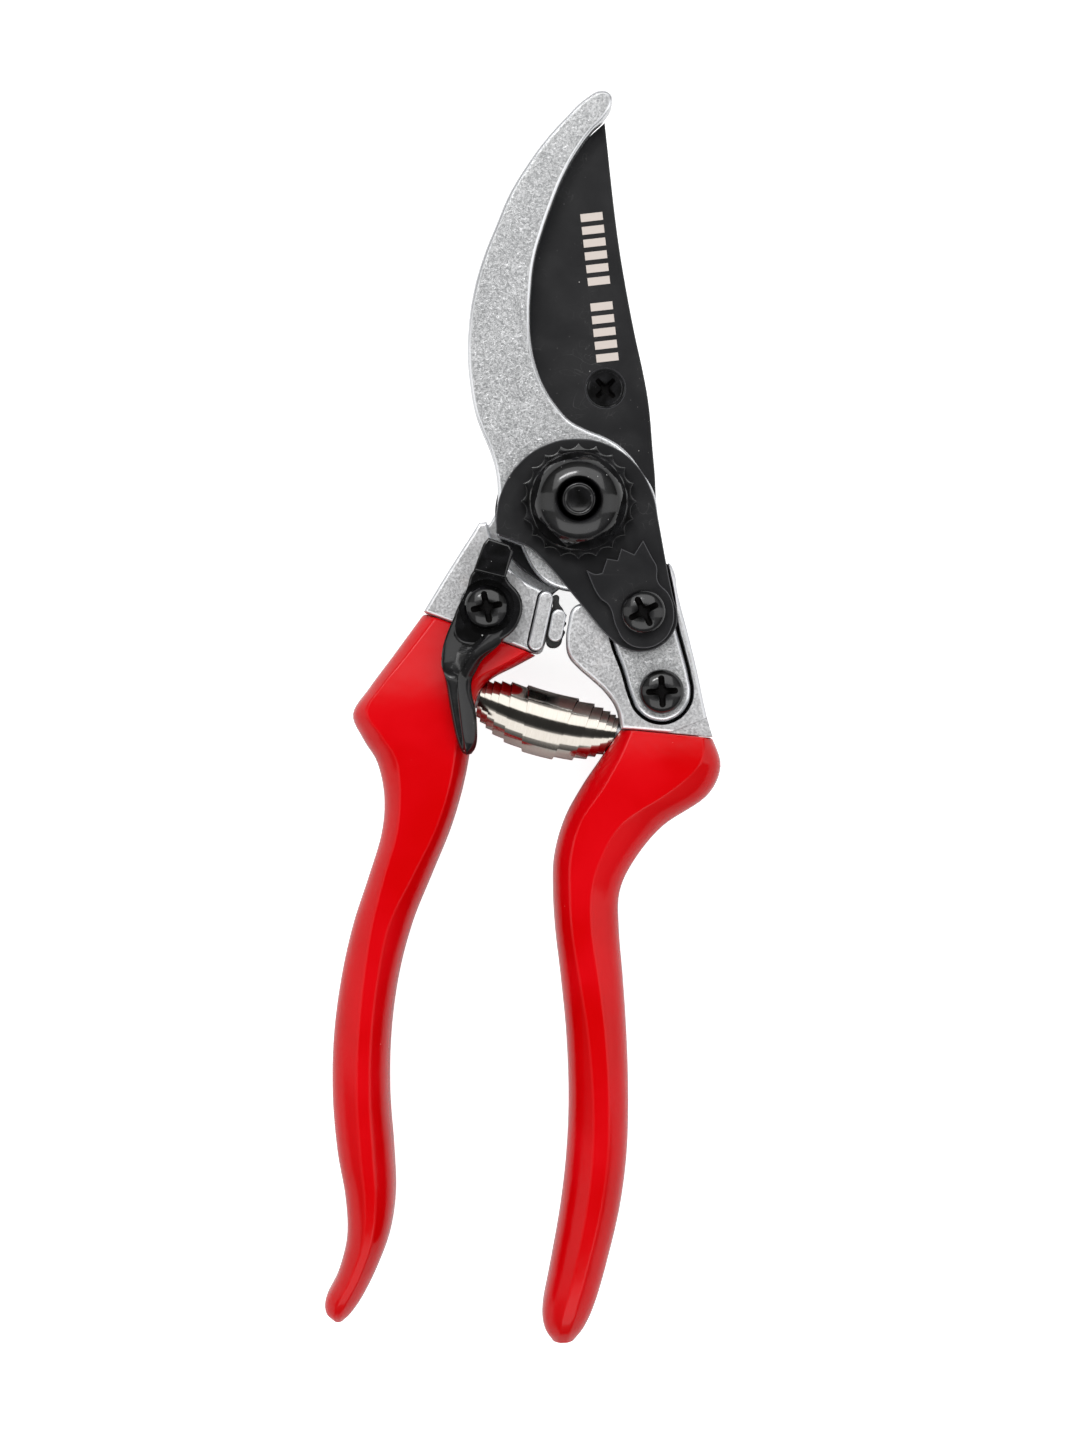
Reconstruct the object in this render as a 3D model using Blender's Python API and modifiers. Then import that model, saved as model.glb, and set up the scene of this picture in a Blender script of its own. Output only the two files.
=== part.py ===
"""Bypass pruner, closed and lying flat with the nut side up.

The origin is on the pivot's axis, at the flat underside of the bolt head. +Y runs to the
jaw tips and +Z up the pivot to the nut. Shapes are drawn in millimetres and the finished
meshes are scaled to metres.
"""
import math

import bmesh
import bpy
from mathutils import Matrix, Vector

MM = 0.001
CORNER = True
OUTLINE_STEPS = 3
ROUND_STEPS = 24
WELD = 0.0001

# Heights of the stack on the pivot, above the bolt head's underside.
WASHER = (3.6, 4.6)
SEAT = (4.8, 9.8)
BLADE = (10.0, 13.0)
HOOK = (13.2, 17.2)
NUT_PLATE = (17.4, 18.6)
SEGMENT = (18.8, 20.0)
FLANGE = (18.8, 20.8)
NUT_TOP = 26.2
BOLT_TOP = 25.6
BOLT_HEAD = 3.4

# Heights of the handles, the stop and the catch.
ANVIL_BLOCK = (4.8, 17.0)
BLADE_BLOCK = (4.8, 16.6)
RECESS_FLOOR = 12.9
RECESS_GAP = 0.45
GRIP_MIDDLE = 9.5
CATCH_WASHER = (16.8, 17.2)
CATCH_HUB = (17.4, 20.6)
CATCH_RECESS = 19.0
CATCH_NOSE = (18.9, 22.2)
CATCH_LEVER = (18.9, 22.6)
STOP_INSERT = (8.4, 17.0)
BUMPER_RUBBER = (6.4, 15.2)
BUMPER_HEAD = (15.4, 17.0)

# Radii on the pivot.
BOLT_SHANK = 4.0
BOLT_THREAD = 3.2
BOLT_HOLE = 4.2
NUT_BORE = 3.6
FLANGE_ROOT = 8.9
FLANGE_TIP = 9.8
FLANGE_TEETH = 20
HEX_ACROSS = 13.2
JAW_CLEARANCE = 15.9

# Screws: places in the plane, head radius, shank radius and the holes they run in.
SEGMENT_SCREW = (10.9, -18.6)
TAIL_SCREW = (14.1, -32.0)
CATCH_SCREW = (-15.5, -17.8)
BLADE_SCREW = (4.7, 20.0)
PAN_HEAD = 3.8
PAN_HEIGHT = 2.5
SHANK = 1.9
SHANK_HOLE = 2.2
FLAT_HEAD = 3.4

# Grips: skin thickness, and the gap between the skin and the tang in it.
GRIP_SKIN = 2.0
TANG_GAP = 0.3

# Spring: its two ends in the plane, the height of its axis, and the nubs that hold it.
SPRING_START = Vector((-16.9, -33.0, 9.6))
SPRING_END = Vector((6.4, -39.2, 9.6))
SPRING_BORE = 2.3
SPRING_BANDS = (2.9, 3.5, 4.2, 4.8, 5.3, 5.7, 5.2, 4.6, 4.0, 3.4, 2.9)
SPRING_ENDS = (1.2, 2.6, 4.1, 5.6, 7.4, 10.0, 14.0, 16.4, 18.2, 19.9, 21.4, 22.9)
NUB_RADIUS = 1.9
NUB_HOLE = 2.15

HOOK_OUTLINE = (
    (3.9, 70.2), (1.4, 69.0), (-2.2, 65.6), (-5.8, 61.6), (-8.9, 57.3), (-11.7, 52.7),
    (-14.0, 47.3), (-16.3, 41.5), (-17.9, 35.6), (-18.7, 29.4), (-18.8, 24.7), (-18.4, 20.1),
    (-17.6, 14.2, CORNER), (-16.7, 13.0), (-14.9, 9.0), (-14.0, 5.2), (-13.7, 1.1),
    (-14.0, -2.8), (-13.8, -5.6, CORNER), (-9.8, -7.2, CORNER), (-8.9, -9.2), (-7.6, -11.4),
    (-5.6, -13.4), (-3.0, -14.6), (-0.5, -15.2), (2.4, -17.2), (4.8, -20.4), (6.4, -25.0),
    (7.7, -28.4), (9.1, -33.0), (10.2, -35.2), (13.3, -37.0), (16.4, -36.5), (18.5, -34.4),
    (19.1, -32.2), (18.7, -29.3), (17.5, -24.5), (16.6, -21.1), (15.9, -15.9), (14.7, -9.7),
    (13.6, -2.5), (12.9, 1.8), (10.8, 5.4), (7.9, 9.1), (5.0, 11.1), (1.4, 12.6),
    (-1.5, 14.2), (-3.5, 16.4), (-5.4, 19.2), (-6.9, 22.7), (-7.9, 27.0), (-8.2, 31.4),
    (-8.0, 36.4), (-7.4, 41.5), (-6.0, 46.5), (-4.2, 51.6), (-2.2, 56.3), (0.1, 60.3),
    (2.4, 63.4), (4.4, 65.4), (5.8, 68.2), (5.5, 69.6),
)

# The blade's edge is ground away by the third value, towards its back.
BLADE_BACK = (
    (5.0, 62.0), (5.6, 56.2), (6.2, 50.8), (7.1, 44.0), (8.3, 36.8), (9.8, 29.0),
    (11.2, 22.6), (12.1, 17.5), (12.8, 9.7), (13.3, 3.0), (13.2, -1.5), (11.4, -7.0),
    (8.0, -11.0), (3.0, -13.6), (-3.0, -14.2), (-8.4, -11.8), (-12.4, -7.6), (-14.2, -2.0),
    (-13.4, 3.6), (-12.0, 9.4), (-11.2, 14.6),
)
BLADE_EDGE = (
    (-11.2, 20.0, 3.6), (-11.7, 28.0, 5.0), (-11.2, 36.0, 5.2), (-9.4, 44.0, 4.8),
    (-6.6, 51.0, 4.2), (-3.2, 57.0, 3.4), (0.8, 62.0, 2.0),
)
BLADE_TIP = (4.6, 65.6)
BLADE_LAND = 0.4

SEAT_OUTLINE = (
    (4.7, 25.4), (8.4, 23.8), (9.8, 20.0), (10.8, 13.0), (12.2, 5.0), (12.3, -1.0),
    (10.6, -6.4), (6.8, -10.4), (1.5, -12.6), (-3.0, -14.0), (-6.8, -17.4), (-11.0, -18.6),
    (-17.0, -14.0), (-18.0, -7.4), (-14.6, -2.0), (-12.4, 3.0), (-9.4, 9.0), (-4.6, 14.0),
    (-1.0, 20.5), (1.2, 24.0),
)
NUT_PLATE_OUTLINE = (
    (-13.9, -5.2, CORNER), (-10.6, -6.6), (-8.1, -7.8), (-6.3, -9.4), (0.4, -17.2),
    (5.6, -23.2), (8.2, -24.9), (10.9, -25.3), (13.8, -24.4), (16.0, -22.2), (16.8, -19.4),
    (16.0, -15.9), (14.8, -9.9), (13.5, -2.8), (12.6, 1.4), (9.6, 6.6), (5.2, 9.7),
    (0.0, 10.8), (-5.2, 9.9), (-9.8, 6.9), (-12.9, 2.2), (-13.9, -2.0),
)
SEGMENT_OUTLINE = (
    (1.3, -11.5, CORNER), (4.0, -12.0, CORNER), (4.8, -9.6, CORNER), (6.6, -9.9, CORNER),
    (7.2, -7.9, CORNER), (9.4, -8.9, CORNER), (10.9, -6.5, CORNER), (12.4, -9.4),
    (13.2, -10.9), (13.4, -13.4), (15.3, -15.7), (16.1, -18.4), (15.6, -21.6),
    (13.8, -23.8), (10.9, -24.7), (8.0, -23.7), (6.4, -21.2), (5.1, -17.5), (3.6, -16.2),
)

ANVIL_BLOCK_OUTLINE = (
    (6.2, -15.6), (1.2, -16.9), (-0.6, -17.9), (-1.1, -19.9), (-1.5, -23.2), (-1.1, -25.6),
    (0.3, -27.4), (2.5, -29.6), (4.8, -32.1), (6.6, -34.8), (7.3, -38.0, CORNER),
    (22.9, -39.5, CORNER), (21.8, -35.9), (20.3, -28.8), (18.8, -22.6), (16.9, -15.2),
    (16.2, -11.3), (15.3, -10.1), (13.4, -10.6), (10.6, -13.2),
)
BLADE_BLOCK_OUTLINE = (
    (-16.5, -2.9, CORNER), (-15.6, -3.0, CORNER), (-14.8, -5.9), (-12.9, -9.4),
    (-10.2, -12.3), (-6.4, -14.6), (-4.5, -15.3, CORNER), (-4.4, -16.8), (-5.7, -23.8),
    (-6.6, -25.3), (-8.4, -24.8, CORNER), (-26.2, -18.1, CORNER), (-23.5, -13.7),
)
STOP_TOP = Vector((-5.5, -16.2))
STOP_BOTTOM = Vector((-7.2, -23.8))
STOP_HALF_WIDTH = 1.25
STOP_GAP = 0.3
BUMPER_TOP = Vector((-3.3, -19.2))
BUMPER_BOTTOM = Vector((-3.9, -22.3))

CATCH_HUB_OUTLINE = (
    (-17.4, -11.4), (-19.0, -15.0), (-21.2, -20.6), (-20.4, -23.4), (-17.2, -24.2),
    (-12.4, -23.0), (-9.8, -19.8), (-9.7, -16.2), (-11.9, -13.2), (-12.8, -11.4),
)
CATCH_NOSE_OUTLINE = (
    (-15.2, -6.2, CORNER), (-11.6, -7.4, CORNER), (-11.0, -8.5, CORNER),
    (-12.3, -13.0, CORNER), (-17.7, -11.7, CORNER), (-16.1, -7.3, CORNER),
)
CATCH_LEVER_OUTLINE = (
    (-21.5, -20.7), (-22.9, -24.0), (-23.1, -26.6), (-22.5, -30.0), (-21.8, -33.8),
    (-20.8, -39.0), (-19.6, -42.4), (-18.2, -42.8), (-17.1, -40.6), (-17.1, -36.4),
    (-18.0, -33.4), (-18.1, -30.6), (-16.7, -27.4), (-13.9, -24.9), (-12.0, -22.9),
    (-16.6, -23.2),
)

# Stations down each grip: left point, right point, thickness, then where across the width
# the flat of the top begins and ends.
ANVIL_GRIP = (
    ((7.2, -38.4), (23.1, -39.9), 15.6, 0.12, 0.88),
    ((4.1, -43.2), (24.6, -44.8), 17.2, 0.14, 0.80),
    ((0.6, -48.4), (22.1, -50.0), 18.2, 0.16, 0.66),
    ((-2.4, -54.0), (14.7, -55.0), 18.6, 0.16, 0.56),
    ((-4.1, -60.2), (9.8, -60.8), 18.8, 0.20, 0.56),
    ((-4.3, -66.2), (7.2, -66.4), 18.8, 0.25, 0.56),
    ((-3.9, -73.0), (7.1, -73.0), 18.8, 0.26, 0.56),
    ((-2.9, -81.5), (7.8, -81.5), 18.8, 0.30, 0.60),
    ((-2.0, -91.0), (8.4, -91.0), 18.8, 0.36, 0.64),
    ((-1.6, -101.5), (8.7, -101.5), 18.8, 0.40, 0.66),
    ((-2.0, -111.5), (8.4, -111.5), 18.6, 0.42, 0.67),
    ((-3.1, -121.0), (7.2, -120.6), 18.2, 0.42, 0.66),
    ((-4.8, -130.6), (5.1, -129.6), 17.4, 0.42, 0.64),
    ((-6.1, -137.6), (3.1, -136.6), 16.0, 0.42, 0.62),
    ((-5.8, -141.2), (1.3, -140.8), 13.0, 0.40, 0.62),
    ((-4.4, -143.5), (-0.6, -143.4), 8.0, 0.36, 0.64),
)
BLADE_GRIP = (
    ((-26.5, -18.5), (-6.4, -26.2), 13.6, 0.12, 0.92),
    ((-31.8, -25.8), (-10.4, -27.6), 15.4, 0.12, 0.90),
    ((-35.8, -31.2), (-15.2, -30.0), 16.8, 0.12, 0.88),
    ((-38.7, -35.8), (-17.3, -33.4), 17.8, 0.13, 0.88),
    ((-36.9, -40.2), (-18.2, -38.4), 18.2, 0.20, 0.88),
    ((-34.5, -44.2), (-18.8, -43.4), 18.4, 0.24, 0.86),
    ((-33.3, -50.0), (-20.0, -49.2), 18.6, 0.23, 0.84),
    ((-33.8, -56.4), (-22.0, -55.8), 18.8, 0.25, 0.80),
    ((-36.1, -64.0), (-25.2, -63.6), 18.8, 0.28, 0.72),
    ((-38.7, -72.0), (-28.5, -71.8), 18.8, 0.36, 0.64),
    ((-40.7, -81.0), (-30.9, -81.0), 18.8, 0.44, 0.68),
    ((-42.0, -91.0), (-32.2, -91.0), 18.8, 0.48, 0.70),
    ((-42.2, -101.0), (-32.4, -101.0), 18.8, 0.48, 0.70),
    ((-41.4, -110.6), (-31.7, -110.6), 18.6, 0.46, 0.68),
    ((-40.0, -118.6), (-31.4, -118.2), 18.2, 0.44, 0.66),
    ((-39.7, -125.4), (-32.3, -124.8), 17.4, 0.42, 0.64),
    ((-41.2, -131.6), (-34.3, -130.4), 16.0, 0.40, 0.62),
    ((-43.3, -136.0), (-36.7, -135.4), 14.0, 0.40, 0.62),
    ((-43.4, -138.6), (-38.8, -138.6), 10.4, 0.38, 0.62),
    ((-42.2, -140.0), (-40.4, -140.2), 6.0, 0.36, 0.64),
)
TANG_STOP = 4

for old in list(bpy.data.objects):
    bpy.data.objects.remove(old, do_unlink=True)

PARTS = bpy.data.collections.new("bypass_pruner")
bpy.context.scene.collection.children.link(PARTS)


# ---------------------------------------------------------------- tools

def link(data, name="shape"):
    """Put mesh or curve data into the pruner's collection."""
    obj = bpy.data.objects.new(name, data)
    PARTS.objects.link(obj)
    return obj


def weld(mesh):
    """Join coincident points and turn the faces outwards."""
    bm = bmesh.new()
    bm.from_mesh(mesh)
    bmesh.ops.remove_doubles(bm, verts=bm.verts, dist=WELD)
    bmesh.ops.recalc_face_normals(bm, faces=bm.faces)
    bm.to_mesh(mesh)
    bm.free()


def bake(obj):
    """Replace an object by the mesh that its curve or modifiers make."""
    bpy.context.view_layer.update()
    shaped = obj.evaluated_get(bpy.context.evaluated_depsgraph_get())
    mesh = bpy.data.meshes.new_from_object(shaped)
    bpy.data.objects.remove(obj, do_unlink=True)
    weld(mesh)
    return link(mesh)


def combine(body, tool, operation):
    """Join, cut or keep the common part of two solids."""
    step = body.modifiers.new("step", "BOOLEAN")
    step.solver = "EXACT"
    step.operation = operation
    step.object = tool
    result = bake(body)
    bpy.data.objects.remove(tool, do_unlink=True)
    return result


def join(body, tool):
    return combine(body, tool, "UNION")


def cut(body, tool):
    return combine(body, tool, "DIFFERENCE")


def circle(centre, radius, count=ROUND_STEPS):
    """Points of a circle in the plane."""
    turns = [math.tau * i / count for i in range(count)]
    return [(centre[0] + radius * math.cos(t), centre[1] + radius * math.sin(t)) for t in turns]


def plate(outline, heights, holes=(), bevel=0.0, grow=0.0):
    """A flat piece between two heights, smooth through its points but for the corners."""
    curve = bpy.data.curves.new("plate", "CURVE")
    curve.dimensions = "2D"
    curve.fill_mode = "BOTH"
    curve.resolution_u = OUTLINE_STEPS
    curve.render_resolution_u = 0
    curve.extrude = (heights[1] - heights[0]) / 2 - bevel
    curve.bevel_depth = bevel
    curve.bevel_resolution = 0
    curve.offset = grow - bevel
    rim = curve.splines.new("BEZIER")
    rim.bezier_points.add(len(outline) - 1)
    rim.use_cyclic_u = True
    for point, place in zip(rim.bezier_points, outline):
        kind = "VECTOR" if len(place) > 2 else "AUTO"
        point.co = (place[0], place[1], 0)
        point.handle_left_type = kind
        point.handle_right_type = kind
    for hole in holes:
        edge = curve.splines.new("POLY")
        edge.points.add(len(hole) - 1)
        edge.use_cyclic_u = True
        for point, place in zip(edge.points, hole):
            point.co = (place[0], place[1], 0, 1)
    flat = link(curve)
    flat.location.z = sum(heights) / 2
    return settle(bake_in_place(flat))


def bake_in_place(obj):
    """Bake an object and keep where it stood."""
    place = obj.matrix_basis.copy()
    result = bake(obj)
    result.matrix_basis = place
    return result


def settle(obj):
    """Move an object's placing into its mesh."""
    obj.data.transform(obj.matrix_basis)
    obj.matrix_basis = Matrix()
    return obj


def rod(centre, radius, heights, count=ROUND_STEPS):
    """An upright cylinder."""
    low, high = heights
    bm = bmesh.new()
    bmesh.ops.create_cone(bm, cap_ends=True, segments=count, radius1=radius, radius2=radius,
                          depth=high - low)
    mesh = bpy.data.meshes.new("rod")
    bm.to_mesh(mesh)
    bm.free()
    mesh.transform(Matrix.Translation((centre[0], centre[1], (low + high) / 2)))
    return link(mesh)


def slanted_rod(start, end, radius):
    """A cylinder between two points."""
    along = end - start
    bar = rod((0, 0), radius, (0, along.length))
    bar.data.transform(along.to_track_quat("Z", "Y").to_matrix().to_4x4())
    bar.data.transform(Matrix.Translation(start))
    return bar


def turned(profile, count=ROUND_STEPS):
    """A round piece from (radius, height) points that start and end on the axis or close."""
    mesh = bpy.data.meshes.new("profile")
    ring = [(radius, 0, height) for radius, height in profile]
    links = [(i, i + 1) for i in range(len(ring) - 1)]
    if profile[0][0] > 0:
        links.append((len(ring) - 1, 0))
    mesh.from_pydata(ring, links, [])
    body = link(mesh)
    spin = body.modifiers.new("spin", "SCREW")
    spin.steps = count
    spin.render_steps = count
    spin.use_merge_vertices = True
    spin.merge_threshold = WELD
    return bake(body)


def loft(rings):
    """A solid through closed rings that have the same number of points."""
    bm = bmesh.new()
    rows = [[bm.verts.new(point) for point in ring] for ring in rings]
    count = len(rows[0])
    for low, high in zip(rows, rows[1:]):
        for i in range(count):
            nearby = (i + 1) % count
            bm.faces.new((low[i], low[nearby], high[nearby], high[i]))
    bm.faces.new(rows[0])
    bm.faces.new(rows[-1])
    bmesh.ops.recalc_face_normals(bm, faces=bm.faces)
    mesh = bpy.data.meshes.new("loft")
    bm.to_mesh(mesh)
    bm.free()
    return link(mesh)


def capsule(start, end, radius, heights, grow=0.0):
    """An upright plate with two parallel sides and round ends."""
    along = (end - start).normalized()
    side = Vector((-along.y, along.x))
    reach = radius + grow
    points = []
    for centre, first in ((end, side), (start, -side)):
        for i in range(7):
            turn = Matrix.Rotation(-math.pi * i / 6, 2)
            points.append(tuple(centre + (turn @ first) * reach) + (CORNER,))
    return plate(points, heights)


def cross(top, reach, depth):
    """The tapered cross that a driver fits, standing below the height top."""
    rings = []
    for height, size in ((top + 0.6, 1.0), (top - depth, 0.5)):
        half = 0.24 * reach
        arm = reach * size
        shape = [(half, half), (half, arm), (-half, arm), (-half, half), (-arm, half),
                 (-arm, -half), (-half, -half), (-half, -arm), (half, -arm), (half, -half),
                 (arm, -half), (arm, half)]
        rings.append([(x, y, height) for x, y in shape])
    return loft(rings)


def pan_screw(length):
    """Domed screw with a cross recess; its head stands on height 0."""
    profile = ((0, -length), (SHANK - 0.5, -length), (SHANK, -length + 0.6), (SHANK, 0),
               (PAN_HEAD - 0.2, 0), (PAN_HEAD, 0.4), (PAN_HEAD, 1.0), (PAN_HEAD - 0.5, 1.8),
               (PAN_HEAD - 1.4, PAN_HEIGHT - 0.2), (0, PAN_HEIGHT))
    return cut(turned(profile), cross(PAN_HEIGHT, 2.3, 1.5))


PAINTS = {
    "bright_steel": ((0.52, 0.53, 0.54), 0.34, 0.9),
    "polished_nickel": ((0.70, 0.66, 0.61), 0.12, 1.0),
    "forged_aluminium": ((0.50, 0.51, 0.52), 0.42, 0.85),
    "black_coating": ((0.022, 0.022, 0.022), 0.42, 0.1),
    "black_steel": ((0.014, 0.014, 0.015), 0.22, 0.4),
    "red_grip": ((0.72, 0.008, 0.012), 0.24, 0.0),
    "black_rubber": ((0.012, 0.012, 0.012), 0.7, 0.0),
    "plain_steel": ((0.42, 0.42, 0.42), 0.3, 1.0),
}


def finish(obj, name, paint, parent=None, origin=(0, 0, 0)):
    """Name and paint a piece, scale it to metres and set its origin and parent."""
    settle(obj)
    at = Vector(origin)
    obj.data.transform(Matrix.Scale(MM, 4) @ Matrix.Translation(-at))
    obj.name = name
    obj.data.name = name
    obj.location = at * MM
    colour, roughness, metallic = PAINTS[paint]
    material = bpy.data.materials.new(name)
    material.use_nodes = True
    shader = material.node_tree.nodes["Principled BSDF"]
    shader.inputs["Base Color"].default_value = (*colour, 1)
    shader.inputs["Roughness"].default_value = roughness
    shader.inputs["Metallic"].default_value = metallic
    obj.data.materials.clear()
    obj.data.materials.append(material)
    if parent:
        obj.parent = parent
        obj.matrix_parent_inverse = parent.matrix_basis.inverted()
    return obj


def pivot(name, place):
    """An empty on a joint's axis, for the pieces that turn about it."""
    empty = bpy.data.objects.new(name, None)
    empty.empty_display_size = 0.01
    PARTS.objects.link(empty)
    empty.location = Vector(place) * MM
    return empty


# ---------------------------------------------------------------- grips and handles

# Half of the section: across the width from the left point, and up as a share of the height.
SECTION_LEFT = ((0.0, 0.0), (0.06, 0.42), (0.30, 0.76), (1.0, 1.0))


def section(station, inset):
    """One ring of a grip: a narrow flat on top and below, sloped rounded sides."""
    left, right, thickness, flat_start, flat_end = station
    left = Vector(left)
    right = Vector(right)
    across = (right - left).normalized()
    left = left + across * inset
    right = right - across * inset
    half = thickness / 2 - inset
    top = [(flat_start * share, up) for share, up in SECTION_LEFT]
    top += [(1 - (1 - flat_end) * share, up) for share, up in reversed(SECTION_LEFT)]
    below = [(share, -up) for share, up in reversed(top[1:-1])]
    ring = []
    for share, up in top + below:
        place = left.lerp(right, share)
        ring.append((place.x, place.y, GRIP_MIDDLE + up * half))
    return ring


def stretched(stations, reach):
    """The stations with one more above the first, on the line from the second."""
    first, second = stations[0], stations[1]
    left = Vector(first[0]) + (Vector(first[0]) - Vector(second[0])).normalized() * reach
    right = Vector(first[1]) + (Vector(first[1]) - Vector(second[1])).normalized() * reach
    return ((tuple(left), tuple(right)) + first[2:],) + stations


def grip(stations):
    """The dipped grip: closed at the bottom, open at the top for the handle."""
    outer = loft([section(station, 0) for station in stations])
    room = stretched(stations, 1.5)[:-TANG_STOP + 1]
    return cut(outer, loft([section(station, GRIP_SKIN) for station in room]))


def tang(stations):
    """The part of a forging that runs down inside the grip."""
    inset = GRIP_SKIN + TANG_GAP
    room = stretched(stations, 4.0)[:-TANG_STOP]
    return loft([section(station, inset) for station in room])


def spring_axis(distance):
    """A point on the spring's axis, at a distance from its left end."""
    return SPRING_START + (SPRING_END - SPRING_START).normalized() * distance


SPRING_LENGTH = (SPRING_END - SPRING_START).length


def anvil_handle():
    body = join(plate(ANVIL_BLOCK_OUTLINE, ANVIL_BLOCK, bevel=0.5), tang(ANVIL_GRIP))
    nub_foot = spring_axis(SPRING_LENGTH + 5)
    body = join(body, slanted_rod(nub_foot, spring_axis(SPRING_LENGTH - 3), NUB_RADIUS))
    body = cut(body, plate(HOOK_OUTLINE, (RECESS_FLOOR, ANVIL_BLOCK[1] + 2), grow=RECESS_GAP))
    body = cut(body, rod((0, 0), JAW_CLEARANCE + 0.6, (0, RECESS_FLOOR + 0.1), 64))
    for place in (SEGMENT_SCREW, TAIL_SCREW):
        body = cut(body, rod(place, SHANK_HOLE, (6.0, RECESS_FLOOR + 1)))
    return body


def blade_handle():
    body = join(plate(BLADE_BLOCK_OUTLINE, BLADE_BLOCK, bevel=0.5), tang(BLADE_GRIP))
    body = join(body, slanted_rod(spring_axis(-5), spring_axis(3), NUB_RADIUS))
    body = join(body, plate(SEAT_OUTLINE, SEAT))
    body = cut(body, rod((0, 0), JAW_CLEARANCE, (SEAT[1], BLADE_BLOCK[1] + 1), 64))
    pocket = (STOP_INSERT[0] - 0.2, BLADE_BLOCK[1] + 1)
    aside = Vector((1.2, -0.2))
    for shift in (Vector((0, 0)), aside):
        body = cut(body, capsule(STOP_TOP + shift, STOP_BOTTOM + shift, STOP_HALF_WIDTH, pocket,
                                 STOP_GAP))
    body = cut(body, rod((0, 0), BOLT_HOLE, (0, SEAT[1] + 1)))
    body = cut(body, rod(BLADE_SCREW, SHANK_HOLE, (0, SEAT[1] + 1)))
    return cut(body, rod(CATCH_SCREW, SHANK_HOLE, (9.0, BLADE_BLOCK[1] + 1)))


def anvil_grip():
    hole = slanted_rod(spring_axis(SPRING_LENGTH + 5.5), spring_axis(SPRING_LENGTH - 4), NUB_HOLE)
    return cut(grip(ANVIL_GRIP), hole)


def blade_grip():
    return cut(grip(BLADE_GRIP), slanted_rod(spring_axis(-5.5), spring_axis(4), NUB_HOLE))


# ---------------------------------------------------------------- jaws and pivot

def anvil_blade():
    holes = [circle((0, 0), BOLT_HOLE), circle(SEGMENT_SCREW, SHANK_HOLE),
             circle(TAIL_SCREW, SHANK_HOLE)]
    return plate(HOOK_OUTLINE, HOOK, holes, bevel=0.35)


def blade_outline(ground):
    """The blade's outline; ground is 1 where the edge is ground back and 0 where it isn't."""
    points = [BLADE_TIP] + list(BLADE_BACK)
    points += [(x + width * ground, y - 0.35 * width * ground) for x, y, width in BLADE_EDGE]
    return points


def cutting_blade():
    low, high = BLADE
    rings = []
    for height, ground in ((low, 1), (high - BLADE_LAND, 0), (high, 0)):
        rings.append([(x, y, height) for x, y in blade_outline(ground)])
    body = cut(loft(rings), rod((0, 0), BOLT_HOLE, (low - 1, high + 1)))
    sink = turned(((0, low - 1), (SHANK_HOLE, low - 1), (SHANK_HOLE, high - 1.4),
                   (FLAT_HEAD + 0.2, high), (FLAT_HEAD + 0.2, high + 1), (0, high + 1)))
    sink.location = (*BLADE_SCREW, 0)
    return cut(body, sink)


def nut_plate():
    holes = [circle((0, 0), BOLT_HOLE), circle(SEGMENT_SCREW, SHANK_HOLE)]
    return plate(NUT_PLATE_OUTLINE, NUT_PLATE, holes)


def toothed_segment():
    return plate(SEGMENT_OUTLINE, SEGMENT, [circle(SEGMENT_SCREW, SHANK_HOLE)])


def pivot_bolt():
    chamfer = 0.5
    body = turned(((0, BOLT_HEAD - 1), (BOLT_SHANK, BOLT_HEAD - 1), (BOLT_SHANK, NUT_PLATE[0]),
                   (BOLT_THREAD, NUT_PLATE[1]), (BOLT_THREAD, BOLT_TOP - chamfer),
                   (BOLT_THREAD - chamfer, BOLT_TOP), (1.6, BOLT_TOP), (0.8, BOLT_TOP - 0.5),
                   (0, BOLT_TOP - 0.6)))
    corner = HEX_ACROSS / 2 / math.cos(math.pi / 6)
    head = rod((0, 0), corner, (0, BOLT_HEAD), 6)
    return join(head, body)


def toothed_ring():
    """The nut's flange with its pointed teeth."""
    points = []
    for i in range(FLANGE_TEETH):
        turn = math.tau * i / FLANGE_TEETH
        half = math.pi / FLANGE_TEETH
        for radius, angle in ((FLANGE_TIP, turn), (FLANGE_ROOT, turn + 0.7 * half),
                              (FLANGE_ROOT, turn + 1.3 * half)):
            points.append((radius * math.cos(angle), radius * math.sin(angle), CORNER))
    return plate(points, FLANGE)


def pivot_nut():
    base = FLANGE[0] + 0.4
    body = turned(((0, base), (FLANGE_ROOT - 0.5, base), (FLANGE_ROOT - 0.5, 21.0),
                   (7.9, 21.8), (7.5, 22.4), (7.4, 23.8), (6.8, 25.0), (5.6, 25.9),
                   (4.6, NUT_TOP), (0, NUT_TOP)), 36)
    corner = HEX_ACROSS / 2 / math.cos(math.pi / 6)
    collar = rod((0, 0), 12, (22.0, NUT_TOP + 1), 36)
    collar = cut(collar, rod((0, 0), corner, (21.0, NUT_TOP + 2), 6))
    nut = join(toothed_ring(), cut(body, collar))
    return cut(nut, rod((0, 0), NUT_BORE, (FLANGE[0] - 1, NUT_TOP + 1)))


def bolt_washer():
    inner, outer = BOLT_HOLE, 9.0
    low, high = WASHER
    return turned(((inner, low), (outer, low), (outer, high), (inner, high)))


# ---------------------------------------------------------------- screws, stop and catch

def blade_screw():
    high = BLADE[1]
    low = SEAT[0] + 0.3
    profile = ((0, low), (SHANK - 0.5, low), (SHANK, low + 0.5), (SHANK, high - 1.5),
               (FLAT_HEAD, high - 0.1), (FLAT_HEAD - 0.1, high), (0, high))
    screw = cut(turned(profile), cross(high, 2.0, 1.2))
    screw.location = (*BLADE_SCREW, 0)
    return screw


def place_screw(place, height, length):
    screw = pan_screw(length)
    screw.location = (*place, height)
    return screw


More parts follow.
